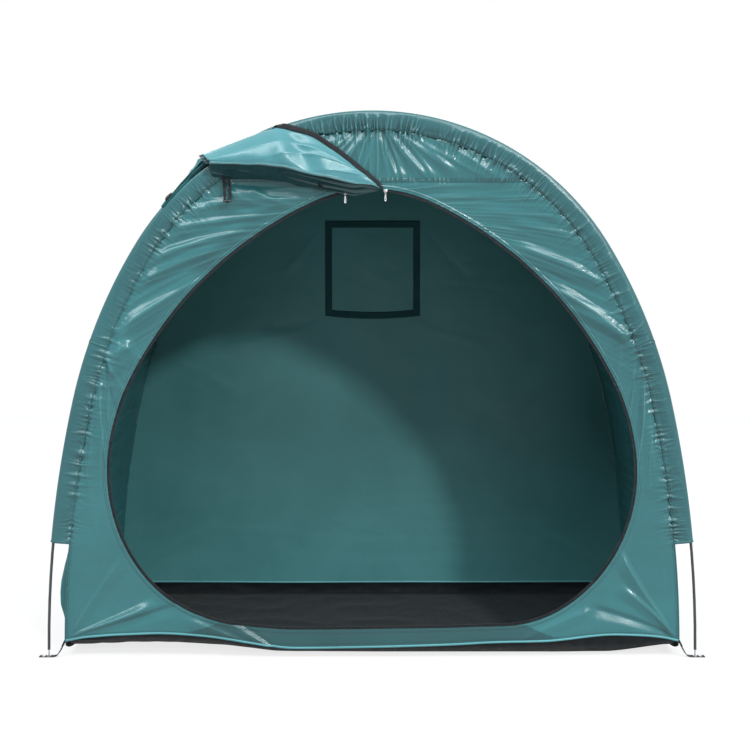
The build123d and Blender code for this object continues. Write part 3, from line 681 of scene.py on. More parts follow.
def pulled_folds(x, z, table):
    """Heights of tapering pleats: a short flank that faces up and a longer one below it."""
    total = np.zeros(np.shape(x))
    for x0, z0, x1, z1, wide0, wide1, strength, bow in table:
        dx, dz = x1 - x0, z1 - z0
        length = math.hypot(dx, dz)
        t = ((x - x0) * dx + (z - z0) * dz) / length**2
        off = ((z - z0) * dx - (x - x0) * dz) / length - bow * FOLD_BOW * t * (1 - t)
        width = (wide0 + (wide1 - wide0) * np.clip(t, 0, 1)) / 1000
        up = math.copysign(1.0, dx) * off / width
        fade = ease(t, -0.06, 0.12) * (1 - ease(t, 0.82, 1.12))
        ridge = -FOLD_ROUND * np.logaddexp(-(1 + up / FOLD_BELOW) / FOLD_ROUND, -(1 - up) / FOLD_ROUND)
        pleat = FOLD_ROUND * np.logaddexp(0.0, ridge / FOLD_ROUND)
        total += FOLD_SLOPE * strength / FOLD_FULL_STRENGTH * width * fade * pleat
    return total


def puckers(length, depth, pitch, reach, height, noise):
    """Sharp gathers that run in from a sewn edge and die out."""
    lines = noise.crests(length / pitch, 0.37 + depth / (5 * pitch)) - 0.25
    strength = np.clip(0.7 + 1.2 * noise(length / (5.3 * pitch), 7.7), 0.15, 1.4)
    run = reach * (0.6 + 1.3 * np.abs(noise(length / (2.3 * pitch), 3.9)))
    return height * strength * lines * np.exp(-np.maximum(depth, 0) / run)


def pull_level(x, z):
    """The height at PULL_X of the pull that passes through a place."""
    heights, climbs = np.array(PULL_CLIMB, float).T
    level = z
    for _ in range(5):
        level = 0.5 * level + 0.5 * (z - (PULL_X - x) * np.tan(np.radians(np.interp(level, heights, climbs))))
    return level


def pleats(level, along, pitch, noise):
    """Uneven pleats, 0 to about 1, with a short flank that faces up."""
    phase = level / pitch + 1.3 * noise(level / (4 * pitch), along / 0.45)
    phase = phase + 0.35 * noise(along / 0.16, level / pitch)
    share = phase - np.floor(phase)
    saw = np.where(share < 0.68, share / 0.68, (1 - share) / 0.32)
    strength = np.clip(0.55 + 1.6 * noise(np.floor(phase) * 3.7 + 0.5, along / 0.22), 0.0, 1.3)
    return strength * (saw * saw * (3 - 2 * saw) * 0.4 + 0.6 * saw)


def gathers(length, depth, reach, share):
    """Coarse and fine puckers along a pole's seam, strongest about the crown."""
    crown = 1 + 0.9 * np.exp(-((length / 0.50) ** 4))
    coarse = puckers(length, depth, 0.034, reach, 0.0080 * share, FOLD_NOISE[5])
    return crown * (coarse + puckers(length, depth, 0.014, 0.8 * reach, 0.0075 * share, FOLD_NOISE[1]))


def front_relief(x, z):
    """How far the front wall stands out of its plane, towards the front."""
    n = FOLD_NOISE
    length, inset = HOOP.locate(x, z)
    seam = np.maximum(inset - SEAM_INSET, 0)
    door_length, door_inset = DOOR.locate(x, z)
    edge = np.maximum(-door_inset, 0)
    held = ease(seam, 0.0, 0.04) * (0.6 + 0.4 * ease(edge, 0.0, 0.05))
    upper, high = ease(z, 0.75, 1.05), ease(z, 0.30, 0.42)
    cap = ease(z, CAP_SEAM_Z - 0.02, CAP_SEAM_Z + 0.03)
    level, along = pull_level(np.abs(x), z), np.abs(x) + np.sign(x) * 3.7
    pulls = pleats(level, along, 0.046, n[0]) + 0.45 * pleats(level, along, 0.019, n[1])
    drops = n[2].crests(x / 0.05, z / 0.45) * ease(z, 0.45, 0.7) * (1 - upper)
    fan = n[2].crests(np.arctan2(x - CROWN_TACK[0], CROWN_TACK[1] - z) * 5.5, 0.2 + z / 0.4) * cap
    # The cloth between its seams
    relief = FRONT_SWELL * n[3].layers(x / 0.33, z / 0.33, 2)
    relief = held * (relief + FRONT_PULL * upper * (1 - cap) * (pulls - 0.5) + FRONT_DROP * drops)
    relief += held * (FRONT_CRUMPLE * n[4].layers(x / 0.09, z / 0.09, 2) + FRONT_FAN * (fan - 0.3 * cap))
    relief += pulled_folds(x, z, FRONT_FOLDS) * (0.15 + 0.85 * held)
    # Gathers along the pole, the doorway and the cap's seam
    relief += gathers(length, seam, 0.030, 1.0) * high
    relief += puckers(door_length, edge, 0.016, 0.012, 0.0020, n[2])
    across = np.abs(z - CAP_SEAM_Z)
    relief += puckers(x + 0.4, across, 0.018, 0.014, 0.0036, n[4]) * ease(0.6 - np.abs(x), 0.0, 0.1)
    # The hang of the doorway's sides and of the foot, the seam's groove and the doorway's hem
    flank = seam / np.maximum(seam + edge, 1e-6)
    relief -= DOOR_SAG * flank**1.2 * ease(z, 0.55, 0.95) * ease(np.abs(x), 0.15, 0.45)
    groove = np.exp(-((seam / 0.005) ** 2)) * high
    hem = 1 - ease(edge, 0.009, 0.012)
    low = (1 - ease(z, HEM_Z, 0.20)) * ease(1 - np.abs(x) / HEM_HALF, 0.0, 0.3)
    return relief + FOOT_SWELL * low - SEAM_GROOVE * groove + DOOR_HEM * hem


def front_surface(x, z, lift=0.0):
    """The front wall's place for a place on its flat cut."""
    x, z = np.broadcast_arrays(x, z)
    drop = (line_height(HEM_LINE, x) - HEM_Z) * np.clip(1 - (z - HEM_Z) / 0.20, 0, 1) ** 2
    return points(x, FRONT_Y - front_relief(x, z) - lift, z + drop)


def back_relief(x, z):
    """How far the back wall stands out of its plane, towards the back."""
    n = FOLD_NOISE
    length, inset = HOOP.locate(x, z)
    seam = np.maximum(inset - SEAM_INSET, 0)
    held = ease(seam, 0.0, 0.08)
    level = n[1].crests(x / 0.55 + 3.0, z / 0.075) - 0.3
    relief = held * (BACK_SWELL * n[2](x / 0.55 + 7.0, z / 0.50) + BACK_CRESTS * level)
    relief += held * BACK_CRUMPLE * n[0].layers(x / 0.10, z / 0.10, 2)
    relief -= BACK_PULL * pulled_folds(x, z, BACK_FOLDS) * held
    relief += puckers(length + 2.0, seam, 0.030, 0.020, 0.0050, n[5])
    window = np.maximum(np.abs(x), np.abs(z - WINDOW_Z)) - WINDOW_HALF
    return relief * (0.25 + 0.75 * ease(window, -0.02, 0.10))


def back_surface(x, z, lift=0.0):
    """The back wall's place for a place on its flat cut."""
    x, z = np.broadcast_arrays(x, z)
    return points(x, BACK_Y + back_relief(x, z) + lift, z)


def tunnel_surface(length, y, lift=0.0):
    """The tunnel between the hoops, drawn in a little at mid-depth, with folds from the tacks."""
    length, y = np.broadcast_arrays(length, y)
    n = FOLD_NOISE
    x, z, out_x, out_z = HOOP.at(length, SEAM_INSET)
    middle = 1 - (y / BACK_Y) ** 2
    edge = BACK_Y - np.abs(y)
    held = ease(edge, 0.0, 0.07)
    low = ease(z, HEM_Z, 0.16)
    draw = -TUNNEL_DRAW * middle * ease(z, 0.15, 0.9) - TUNNEL_FOOT_DRAW * middle * low
    swell = TUNNEL_SWELL * n[0].layers(length / 0.40, y / 0.36 + 5.0, 2)
    reach = np.abs(np.abs(length) - TACK_LENGTH)
    fan = n[3].crests(np.arctan2(reach, edge + 0.02) * 3.2 + np.sign(y) * 4, edge / 0.5)
    fan = (fan - 0.3) * np.exp(-np.hypot(reach, edge) / 0.16) * TUNNEL_FAN
    cross = (n[1].crests(length / 0.085 + 9.0, y / 0.8) - 0.3) * TUNNEL_CROSS
    fine = TUNNEL_CRUMPLE * n[4].layers(length / 0.07, y / 0.07, 3)
    gather = puckers(length + np.sign(y) * 3.0, edge, 0.030, 0.020, 0.0050, n[5]) * ease(z, 0.30, 0.42)
    behind = y - FRONT_Y
    belly = np.where(length < 0, BELLY_LEFT, BELLY_RIGHT) * np.exp(-(((z - BELLY_Z) / 0.13) ** 2))
    belly = belly * ease(behind, 0.0, 0.035) * np.exp(-behind / 0.15)
    out = draw + (swell + cross + fine) * held * low + (fan + belly) * low + gather + lift
    return points(x + out * out_x, y, z + out * out_z)


# Front and back walls
FRONT_COLUMNS, HEM_COLUMNS, FRONT_ROWS = 1040, 210, 72
# Painted shade on the sill panel below the doorway
SILL_PAINTED_SHADE = 0.55


def front_wall():
    """One ring of cloth between the doorway and the seam, closed under the sill."""
    arch = np.linspace(-HEM_LENGTH, HEM_LENGTH, FRONT_COLUMNS)
    outer = np.stack(HOOP.at(arch, SEAM_INSET)[:2], 1)
    hem_x = np.linspace(HEM_HALF, -HEM_HALF, HEM_COLUMNS + 2)[1:-1]
    outer = np.concatenate([outer, np.stack([hem_x, np.full(HEM_COLUMNS, HEM_Z)], 1)])
    lengths = np.linspace(-DOOR_LENGTH, DOOR_LENGTH, 6000)[1:-1]
    inner_x, inner_z = DOOR.at(lengths)[:2]
    turn = np.arctan2(inner_x, inner_z - DOOR_WIDEST_Z)
    wanted = np.arctan2(outer[:, 0], outer[:, 1] - DOOR_WIDEST_Z)
    inner = np.stack(DOOR.at(np.interp(wanted, turn, lengths))[:2], 1)
    t = np.linspace(0, 1, FRONT_ROWS)
    share = t - 0.55 * np.sin(2 * np.pi * t) / (2 * np.pi)
    flat = inner[:, None] + share[None, :, None] * (outer - inner)[:, None]
    x, z = flat[..., 0], flat[..., 1]
    panels = [f"front_{side}_panel" for side in ("cap", "left", "right", "sill")]
    # The sill panel, with its slanted ends, gets painted shade
    beyond = np.abs(x) - SILL_END - SILL_SLANT * (SILL_Z - z) / (SILL_Z - HEM_Z)
    shade = SILL_PAINTED_SHADE * ((1 - ease(beyond, -0.003, 0.003)) * (1 - ease(z, SILL_Z + 0.002, SILL_Z + 0.006)))
    wall = cloth("front_wall", front_surface(x, z), SHELL, "shell_fabric", panels, wrap=True, shade=shade)


def back_wall():
    """The back sheet, its grid drawn in so that the window's edges lie on grid lines."""
    lengths = np.linspace(0.0, HEM_LENGTH, 3000)
    arch_x, arch_z = HOOP.at(lengths, SEAM_INSET)[:2]
    low, high = WINDOW_Z - WINDOW_HOLE, WINDOW_Z + WINDOW_HOLE
    rise = 1 - (1 - np.linspace(0, 1, 40)) ** 1.5
    below, beside = np.linspace(HEM_Z, low, 96), np.linspace(low, high, 26)[1:]
    z = np.concatenate([below, beside, high + (arch_z[0] - high) * rise[1:]])
    half = np.interp(-z, -arch_z, arch_x)
    inner = np.minimum(WINDOW_HOLE, 0.4 * half)
    middle, flank = np.linspace(-1, 1, 27), np.linspace(0, 1, 76)[1:]
    centre = inner[None, :] * middle[:, None]
    right = inner[None, :] + (half - inner)[None, :] * flank[:, None]
    x = np.concatenate([-right[::-1], centre, right])
    grid = back_surface(x, z)
    cell_x = np.abs((x[1:, :-1] + x[:-1, :-1]) / 2)
    cell_z = np.abs((z[1:] + z[:-1]) / 2 - WINDOW_Z)
    keep = ~((cell_x < WINDOW_HOLE) & (cell_z[None, :] < WINDOW_HOLE))
    # The back wall uses the lighter copy of the cloth: painted light
    wall = cloth("back_wall", grid, BRIGHTENED_BACK_CLOTH, "shell_fabric", ["back_panel"], keep=keep, outward=0)


# Tunnel between the hoops
TUNNEL_STEP = 0.0085


def tunnel():
    """The four sheets from hem to tack to ridge, with closer grid lines at the hoops."""
    spans = {
        "left_wall": (-HEM_LENGTH, -TACK_LENGTH), "left_roof": (-TACK_LENGTH, 0.0),
        "right_roof": (0.0, TACK_LENGTH), "right_wall": (TACK_LENGTH, HEM_LENGTH),
    }
    t = np.linspace(-1, 1, 96)
    depth = BACK_Y * (t + 0.35 * np.sin(np.pi * t) / np.pi)
    for name, (start, end) in spans.items():
        count = int((end - start) / TUNNEL_STEP)
        grid = tunnel_surface(*cross_grid(np.linspace(start, end, count), depth))
        piece = cloth(name + "_cloth", grid, TUNNEL, "shell_fabric", [name])


# Pole sleeves: half their thickness, the inset where that is, and half of it at the seam
SLEEVE_SWELL, SLEEVE_MIDDLE, SLEEVE_ROOT = 0.0105, 0.011, 0.0012
# How far upper and lower sleeves overlap, how far their folds may go in, and the steps of their grids
SLEEVE_OVERLAP = 0.004
SLEEVE_DENT = -0.0040
SLEEVE_STEPS = {"front": 0.0026, "back": 0.0036}


def sleeve_depth(inset):
    """How far a sleeve's cloth stands from its middle plane."""
    inner = np.sin(np.pi / 2 * np.clip((SEAM_INSET - inset) / (SEAM_INSET - SLEEVE_MIDDLE), 0, 1)) ** 0.9
    outer = np.clip((SLEEVE_MIDDLE - inset) / (SLEEVE_MIDDLE + CHANNEL_RADIUS), 0, 1)
    outer = SLEEVE_SWELL * np.sqrt(1 - outer**2)
    return np.where(inset > SLEEVE_MIDDLE, SLEEVE_ROOT + (SLEEVE_SWELL - SLEEVE_ROOT) * inner, outer)


def sleeve_section(count=15):
    """Places round a sleeve: inset and depth from the front seam over the pole to the back seam."""
    inner = np.linspace(SEAM_INSET, SLEEVE_MIDDLE, count)[:-1]
    turn = np.linspace(0, np.pi / 2, count)
    outer = SLEEVE_MIDDLE - (SLEEVE_MIDDLE + CHANNEL_RADIUS) * np.sin(turn)
    inset = np.concatenate([inner, outer])
    front = np.stack([inset, -sleeve_depth(inset)], 1)
    return np.concatenate([front, front[-2::-1] * [1, -1]])


def sleeve_surface(length, place, y):
    """A sleeve's cloth over its pole; place is rows of inset and depth."""
    inset, depth = place[:, 0][None, :], place[:, 1][None, :]
    length = length[:, None]
    n = FOLD_NOISE
    root = np.maximum(SEAM_INSET - inset, 0)
    share = np.clip(root / SEAM_INSET, 0, 1)
    side = np.sign(depth)
    shift = np.where(side < 0, 0.0, 1.7)
    gather = gathers(length + shift, root, 0.026, 0.9) * (1 - ease(share, 0.72, 1.0))
    slack = 0.0030 * n[2].layers(length / 0.14 + shift, inset / 0.05 + 0.2 * length / 0.05, 2)
    slack += 0.0030 * n[4](length / 0.2, 2.0)
    loose = np.sin(np.pi * share) * slack
    lip = 0.0012 * np.exp(-(((share - 0.1) / 0.09) ** 2))
    out = np.maximum(gather, SLEEVE_DENT) + np.maximum(loose, SLEEVE_DENT) + lip
    out = np.where(np.abs(depth) < 1e-6, 0.0, 1.0) * out
    x, z = HOOP.at(length, inset)[:2]
    return points(x, y + depth + side * out, z)


def sleeves():
    """Lower and upper sleeves on both sides of both hoops."""
    place = sleeve_section()
    low, high = TACK_LENGTH - SLEEVE_OVERLAP, TACK_LENGTH + SLEEVE_OVERLAP
    spans = {
        "left_lower": (-MOUTH_LENGTH, -low), "left_upper": (-high, 0.0),
        "right_upper": (0.0, high), "right_lower": (low, MOUTH_LENGTH),
    }
    for hoop, y in (("front", FRONT_Y), ("back", BACK_Y)):
        for name, (start, end) in spans.items():
            count = int((end - start) / SLEEVE_STEPS[hoop])
            grid = sleeve_surface(np.linspace(start, end, count), place, y)
            node = f"{hoop}_{name}_sleeve"
            piece = cloth(node + "_cloth", grid, SHADED_SLEEVE_CLOTH, "shell_fabric", [node])


def seam_allowances():
    """The raw edges of walls and tunnel, sewn together inside the sleeves' roots."""
    length = np.linspace(-MOUTH_LENGTH + 0.004, MOUTH_LENGTH - 0.004, 300)
    inset = np.linspace(SEAM_INSET - 0.018, SEAM_INSET + 0.0025, 3)
    x, z = HOOP.at(*cross_grid(length, inset))[:2]
    parts = [slab(points(x, y, z), BACK_OUT, 0.0012) for y in (FRONT_Y, BACK_Y)]
    make_piece("seam_allowances", *merge(parts), SHADED_SLEEVE_CLOTH, "shell_fabric")


# Ground: how far the groundsheet's front edge lies behind the hem, at its ends and more at its middle
TUCK_ENDS, TUCK_MIDDLE = 0.012, 0.028
# Height of the skirts' lower edge, how far they bow out, and how far the side skirts rise at the front
SKIRT_Z, SKIRT_BOW, SKIRT_RISE = 0.002, 0.006, 0.034


def front_tuck(x):
    """Where the groundsheet's front edge lies."""
    return FRONT_Y + TUCK_ENDS + TUCK_MIDDLE * ease(1 - np.abs(x) / HEM_HALF, 0.0, 0.35)


def groundsheet():
    """The black sheet, rippled, and raised at the front where the skirt lifts it."""
    n = FOLD_NOISE
    x, y = cross_grid(np.linspace(-HEM_HALF, HEM_HALF, 150), np.linspace(-1, 1, 66))
    front = front_tuck(x)
    y = np.where(y < 0, -y * front, y * BACK_Y)
    ripple = 0.004 * n[0].crests(x / 0.30, y / 0.20) + 0.003 * n[1].crests(x / 0.12 + 4, y / 0.16)
    ripple *= ease(BACK_Y - np.abs(y), 0.0, 0.08) * ease(HEM_HALF - np.abs(x), 0.0, 0.06)
    lift = (line_height(SKIRT_LINE, x) - SKIRT_Z) * np.exp(-(y - front) / 0.07)
    rim = np.minimum(HEM_HALF - np.abs(x), BACK_Y - y)
    grid = points(x, y, 0.0015 + 0.006 * (1 - ease(rim, 0.0, 0.012)) + ripple + np.maximum(lift, 0))
    piece = cloth("groundsheet_cloth", grid, GROUND, "ground_fabric", ["groundsheet"])


def front_skirt():
    """The black band under the front hem, tucked back to the groundsheet's edge."""
    x, t = cross_grid(np.linspace(-HEM_HALF, HEM_HALF, 320), np.linspace(0, 1, 14))
    _, top_y, top_z = np.moveaxis(front_surface(x, HEM_Z), -1, 0)
    sag = 0.012 * np.sin(np.pi * t) * (0.6 + FOLD_NOISE[2](x / 0.08, t))
    y = top_y + 0.001 + (front_tuck(x) - top_y) * t**1.6 - sag * 0.4
    z = top_z + (line_height(SKIRT_LINE, x) - top_z) * t
    piece = cloth("front_skirt_cloth", points(x, y, z), GROUND, "ground_fabric", ["front_skirt"])


def skirt_bow(along, share, room, noise):
    """How far a skirt bows out between its edges, and nothing at its ends."""
    return SKIRT_BOW * np.sin(np.pi * share) * (0.6 + noise(along / 0.09, share)) * ease(room, 0.0, 0.05)


def other_skirts():
    """The black bands under the back wall and both side walls."""
    t = np.linspace(0, 1, 10)
    x, share = cross_grid(np.linspace(-HEM_HALF - 0.002, HEM_HALF + 0.002, 260), t)
    top_y = back_surface(x, HEM_Z)[..., 1]
    bow = skirt_bow(x, share, HEM_HALF - np.abs(x), FOLD_NOISE[1])
    grid = points(x, top_y + (BACK_Y - top_y) * share + bow, HEM_Z + (SKIRT_Z - HEM_Z) * share)
    back = cloth("back_skirt_cloth", grid, GROUND, "ground_fabric", ["back_skirt"])
    y, share = cross_grid(np.linspace(FRONT_Y + 0.002, BACK_Y + 0.003, 130), t)
    bow = skirt_bow(y, share, BACK_Y - np.abs(y), FOLD_NOISE[2])
    bottom = SKIRT_Z + SKIRT_RISE * np.exp(-(y - FRONT_Y) / 0.06)
    for name, side in (("left", -1), ("right", 1)):
        top_x, _, top_z = np.moveaxis(tunnel_surface(side * HEM_LENGTH, y), -1, 0)
        x = top_x + (side * HEM_HALF - top_x) * share + side * bow
        grid = points(x, y, top_z + (bottom - top_z) * share)
        piece = cloth(name + "_skirt_cloth", grid, GROUND, "ground_fabric", [name + "_skirt"])


# Seams, bindings and stitches: a stitch's pitch, length and radius, then how far rows lie from a seam, over the
# cloth and above the hem
STITCH_PITCH, STITCH_LENGTH, STITCH_RADIUS = 0.0068, 0.0046, 0.0006
ROW_INSET, ROW_LIFT, HEM_ROW = 0.007, 0.0008, 0.010


def stitches(name, rows):
    make_piece(name, *beads(rows, STITCH_PITCH, STITCH_LENGTH, STITCH_RADIUS), THREAD, "shell_fabric")


def front_row(x, z, lift=ROW_LIFT):
    """A row of stitches on the front wall."""
    return front_surface(x, z, lift), FRONT_OUT


def sleeve_row(length, inset, y, side, lift=0.0006):
    """A row of stitches on one face of a sleeve."""
    path = sleeve_surface(length, np.array([[inset, side * float(sleeve_depth(inset))]]), y)[:, 0]
    return path + [0, side * lift, 0], side * BACK_OUT


def wall_seams():
    """The felled seam under the cap, and the stitches of walls and sleeves."""
    cap_x = np.linspace(-CAP_HALF, CAP_HALF, 420)
    grid = front_surface(*cross_grid(cap_x, CAP_SEAM_Z + np.linspace(-0.006, 0.006, 7)), 0.0007)
    grid[..., 1] -= 0.0006 * (1 - np.linspace(-1, 1, 7) ** 2)
    cloth("cap_seam_band", grid, SHADED_SLEEVE_CLOTH, "shell_fabric")

    arch = np.linspace(-HEM_LENGTH + 0.01, HEM_LENGTH - 0.01, 2400)
    arch_x, arch_z = HOOP.at(arch, SEAM_INSET + ROW_INSET)[:2]
    around = np.linspace(-DOOR_LENGTH, DOOR_LENGTH, 2600)
    hem_x = np.linspace(-HEM_HALF + 0.01, HEM_HALF - 0.01, 600)
    t = np.linspace(0, 1, 60)
    slant_x, slant_z = SILL_END + SILL_SLANT * t, SILL_Z - 0.006 - (SILL_Z - HEM_Z - 0.012) * t
    rows = [front_row(arch_x, arch_z), front_row(*DOOR.at(around, -0.0075)[:2])]
    rows += [front_row(cap_x, CAP_SEAM_Z + offset, 0.0018) for offset in (-0.0038, 0.0038)]
    rows += [front_row(hem_x, HEM_Z + HEM_ROW)] + [front_row(side * slant_x, slant_z) for side in (-1, 1)]
    stitches("front_wall_stitches", rows)

    ends = (-MOUTH_LENGTH, -TACK_LENGTH, TACK_LENGTH, MOUTH_LENGTH)
    rows = []
    for y in (FRONT_Y, BACK_Y):
        for start, end in zip(ends, ends[1:]):
            length = np.linspace(start + 0.004, end - 0.004, int((end - start) / 0.002))
            rows += [sleeve_row(length, SEAM_INSET - 0.005, y, side) for side in (-1, 1)]
    stitches("sleeve_stitches", rows)
    paths = [back_surface(arch_x, arch_z, ROW_LIFT), back_surface(hem_x, HEM_Z + HEM_ROW, ROW_LIFT)]
    stitches("back_wall_stitches", [(path, BACK_OUT) for path in paths])


def roof_seams():
    """Felled seams across the tunnel: along the ridge and at both tacks."""
    parts, rows = [], []
    y = np.linspace(FRONT_Y + 0.003, BACK_Y - 0.003, 130)
    for middle in (-TACK_LENGTH, 0.0, TACK_LENGTH):
        length = middle + np.linspace(-0.007, 0.007, 6)
        out_x, out_z = HOOP.at(length)[2:]
        grid = tunnel_surface(*cross_grid(length, y), 0.0012)
        parts.append(slab(grid, points(out_x[:, None], 0.0, out_z[:, None]), 0.0012))
        for at in (middle - 0.0045, middle + 0.0045):
            out_x, out_z = HOOP.at(np.full(y.shape, at))[2:]
            rows.append((tunnel_surface(at, y, 0.0022), points(out_x, 0.0, out_z)))
    make_piece("roof_seam_bands", *merge(parts), SHADED_SLEEVE_CLOTH, "shell_fabric")
    stitches("roof_stitches", rows)


# Half width and half height of the rolled hem, and how far it stands out
HEM_ROLL, HEM_LIFT = (0.0021, 0.0034), 0.0006


def hem_bindings():
    """The rolled hem all round the foot, in a lighter cloth as a painted highlight, and the edges of the four
    corners.
    """
    x = np.linspace(-HEM_HALF, HEM_HALF, 330)
    y = np.linspace(FRONT_Y, BACK_Y, 130)
    paths = [front_surface(x, HEM_Z, HEM_LIFT), back_surface(x, HEM_Z, HEM_LIFT)]
    paths += [tunnel_surface(side * HEM_LENGTH, y, HEM_LIFT) for side in (-1, 1)]
    parts = [sweep_along(path, UP, round_profile(1.0, 8) * HEM_ROLL) for path in paths]
    make_piece("hem_binding", *merge(parts), HEM_HIGHLIGHT_CLOTH, "shell_fabric")
    length = np.linspace(MOUTH_LENGTH - 0.02, HEM_LENGTH, 120)
    parts = []
    for y in (FRONT_Y, BACK_Y):
        for side in (-1, 1):
            at_x, at_z = HOOP.at(side * length, SEAM_INSET)[:2]
            parts.append(sweep_along(points(at_x, y, at_z), np.sign(y) * BACK_OUT, round_profile(0.0024, 10)))
    make_piece("corner_bindings", *merge(parts), SHADED_SLEEVE_CLOTH, "shell_fabric")


def sleeve_mouths():
    """Turned hems at the open ends of the sleeves."""
    place = sleeve_section(16)
    stops = (MOUTH_LENGTH - 0.001, TACK_LENGTH + 0.003)
    parts = []
    for y in (FRONT_Y, BACK_Y):
        for side in (-1, 1):
            for stop in stops:
                path = sleeve_surface(np.array([side * stop]), place, y)[0]
                out_x, out_z = HOOP.at(side * stop)[2:]
                down = np.array([out_z, 0.0, -out_x]) * side
                parts.append(sweep_along(path, down, round_profile(1.0, 8) * [0.0012, 0.0042]))
    make_piece("sleeve_mouth_hems", *merge(parts), SHADED_SLEEVE_CLOTH, "shell_fabric")


# Zip round the doorway
# A coil's pitch, and the length and radius of its turns on the doorway and on the door's edge
COIL_PITCH = 0.0030
DOORWAY_COIL, EDGE_COIL = (0.0044, 0.00095), (0.0050, 0.0011)
ZIP_BEHIND = 0.0016


def zip_lengths(count):
    """Lengths round the doorway from the right slider over the sill to the left one, in two runs."""
    down = np.linspace(SLIDER_RIGHT, DOOR_LENGTH, count)
    return np.concatenate([down, np.linspace(-DOOR_LENGTH, -SLIDER_LEFT, count)[1:]])


def zip_place(lengths, inset, lift=0.0):
    """Places on the zip, which follows the cloth's edge just behind it."""
    edge_x, edge_z = DOOR.at(lengths, 0.0)[:2]
    edge = front_surface(edge_x, edge_z)
    x, z = DOOR.at(lengths, inset)[:2]
    return points(x, edge[..., 1] + ZIP_BEHIND - lift, z + edge[..., 2] - edge_z)


def doorway_zip():
    """The tape and coil along the doorway's edge."""
    lengths = zip_lengths(480)
    grid = np.stack([zip_place(lengths, inset) for inset in np.linspace(-0.006, 0.0090, 5)], 1)
    make_piece("door_zip_tape", *slab(grid, FRONT_OUT, 0.0009), ZIP_TAPE, "zip_tape", ["door_zip"])
    rows = [(zip_place(lengths, 0.0078, 0.0010), FRONT_OUT)]
    make_piece("door_zip_coil", *beads(rows, COIL_PITCH, *DOORWAY_COIL, across=True), PLASTIC, "zip_tape")


# A slider's body from end to end and half its height there, in mm, and half its thickness
SLIDER_STATIONS = (-6.5, -5.6, -3.0, 0.0, 2.6, 5.2, 6.4)
SLIDER_HEIGHTS = (1.6, 3.1, 3.5, 3.9, 4.4, 4.2, 2.6)
SLIDER_HALF = 0.0024
SLIDER_SIDES = 16


def zip_slider(name, length):
    """A slider body with its bridge, and a drop-shaped pull that hangs from it."""
    middle = zip_place(np.array([length]), 0.0048)[0]
    stations, half_up = (np.array(values)[:, None] / 1000 for values in (SLIDER_STATIONS, SLIDER_HEIGHTS))
    turn = np.arange(SLIDER_SIDES) * 2 * np.pi / SLIDER_SIDES
    depth, height = (np.sign(v) * np.abs(v) ** 0.6 for v in (np.sin(turn), np.cos(turn)))
    grid = points(stations, SLIDER_HALF * depth, half_up * height)
    grid[[0, -1], :, 1] *= 0.55
    rows = len(stations)
    caps = [list(range(SLIDER_SIDES))[::-1], list(range((rows - 1) * SLIDER_SIDES, rows * SLIDER_SIDES))]
    body = grid.reshape(-1, 3), grid_faces(rows, SLIDER_SIDES, wrap_columns=True).tolist() + caps
    arch = np.linspace(0, np.pi, 14)
    bridge_path = points(-0.0038 * np.cos(arch), -0.0018 - 0.0030 * np.sin(arch), 0.0)
    bridge = sweep_along(bridge_path, UP, tape_profile(0.0013, 0.0032))
    turn = np.arange(40) * 2 * np.pi / 40
    ring = np.stack([np.sin(turn), np.cos(turn)], 1)
    drop = np.where(ring[:, 1] > 0, 0.0205, 0.0052) * ring[:, 1]
    wide = 0.0034 * np.where(ring[:, 1] > 0, 0.52 + 0.48 * np.abs(ring[:, 0]), 1.0) * ring[:, 0]
    pull = moved(loop_plate(np.stack([wide, drop], 1), ring * 0.0015, 0.0014), (0.0, -0.0042, -0.0270))
    link = loop_plate(ring * [0.0030, 0.0036], ring * [0.0017, 0.0023], 0.0012)
    link = moved(link, (0.0, -0.0042, -0.0052))
    parts = [moved(part, middle - [0, 0.0032, 0]) for part in (body, bridge, pull, link)]
    make_piece(name + "_body", *merge(parts), STEEL, "steel", [name])


# The open door: a fold that hangs in front, and the rest on the roof
# Along the fold from the zip's end: lip x, z and depth before the wall, then top x, z and depth
FOLD_LINES = (
    (0.036, 1.4205, 0.010, 0.036, 1.4205, 0.010),
    (0.000, 1.4385, 0.020, -0.030, 1.4740, 0.013),
    (-0.068, 1.4460, 0.035, -0.098, 1.5290, 0.016),
    (-0.148, 1.4610, 0.050, -0.180, 1.5830, 0.018),
    (-0.256, 1.4845, 0.060, -0.268, 1.6080, 0.013),
    (-0.330, 1.4930, 0.065, -0.335, 1.5890, 0.012),
    (-0.400, 1.4965, 0.062, -0.420, 1.5575, 0.012),
    (-0.472, 1.4970, 0.055, -0.499, 1.5290, 0.012),
)


def smooth_lines(table, t, soft=30):
    """Columns of a table read at shares of its length, with rounded corners."""
    table = np.array(table)
    at = np.linspace(0, 1, len(table))
    dense = np.linspace(0, 1, 600)
    window = np.hanning(2 * soft + 1)
    made = []
    for column in table.T:
        line = np.interp(dense, at, column)
        before, after = line[soft:0:-1], line[-2 : -soft - 2 : -1]
        padded = np.concatenate([2 * line[0] - before, line, 2 * line[-1] - after])
        made.append(np.interp(t, dense, np.convolve(padded, window / window.sum(), "valid")))
    return made


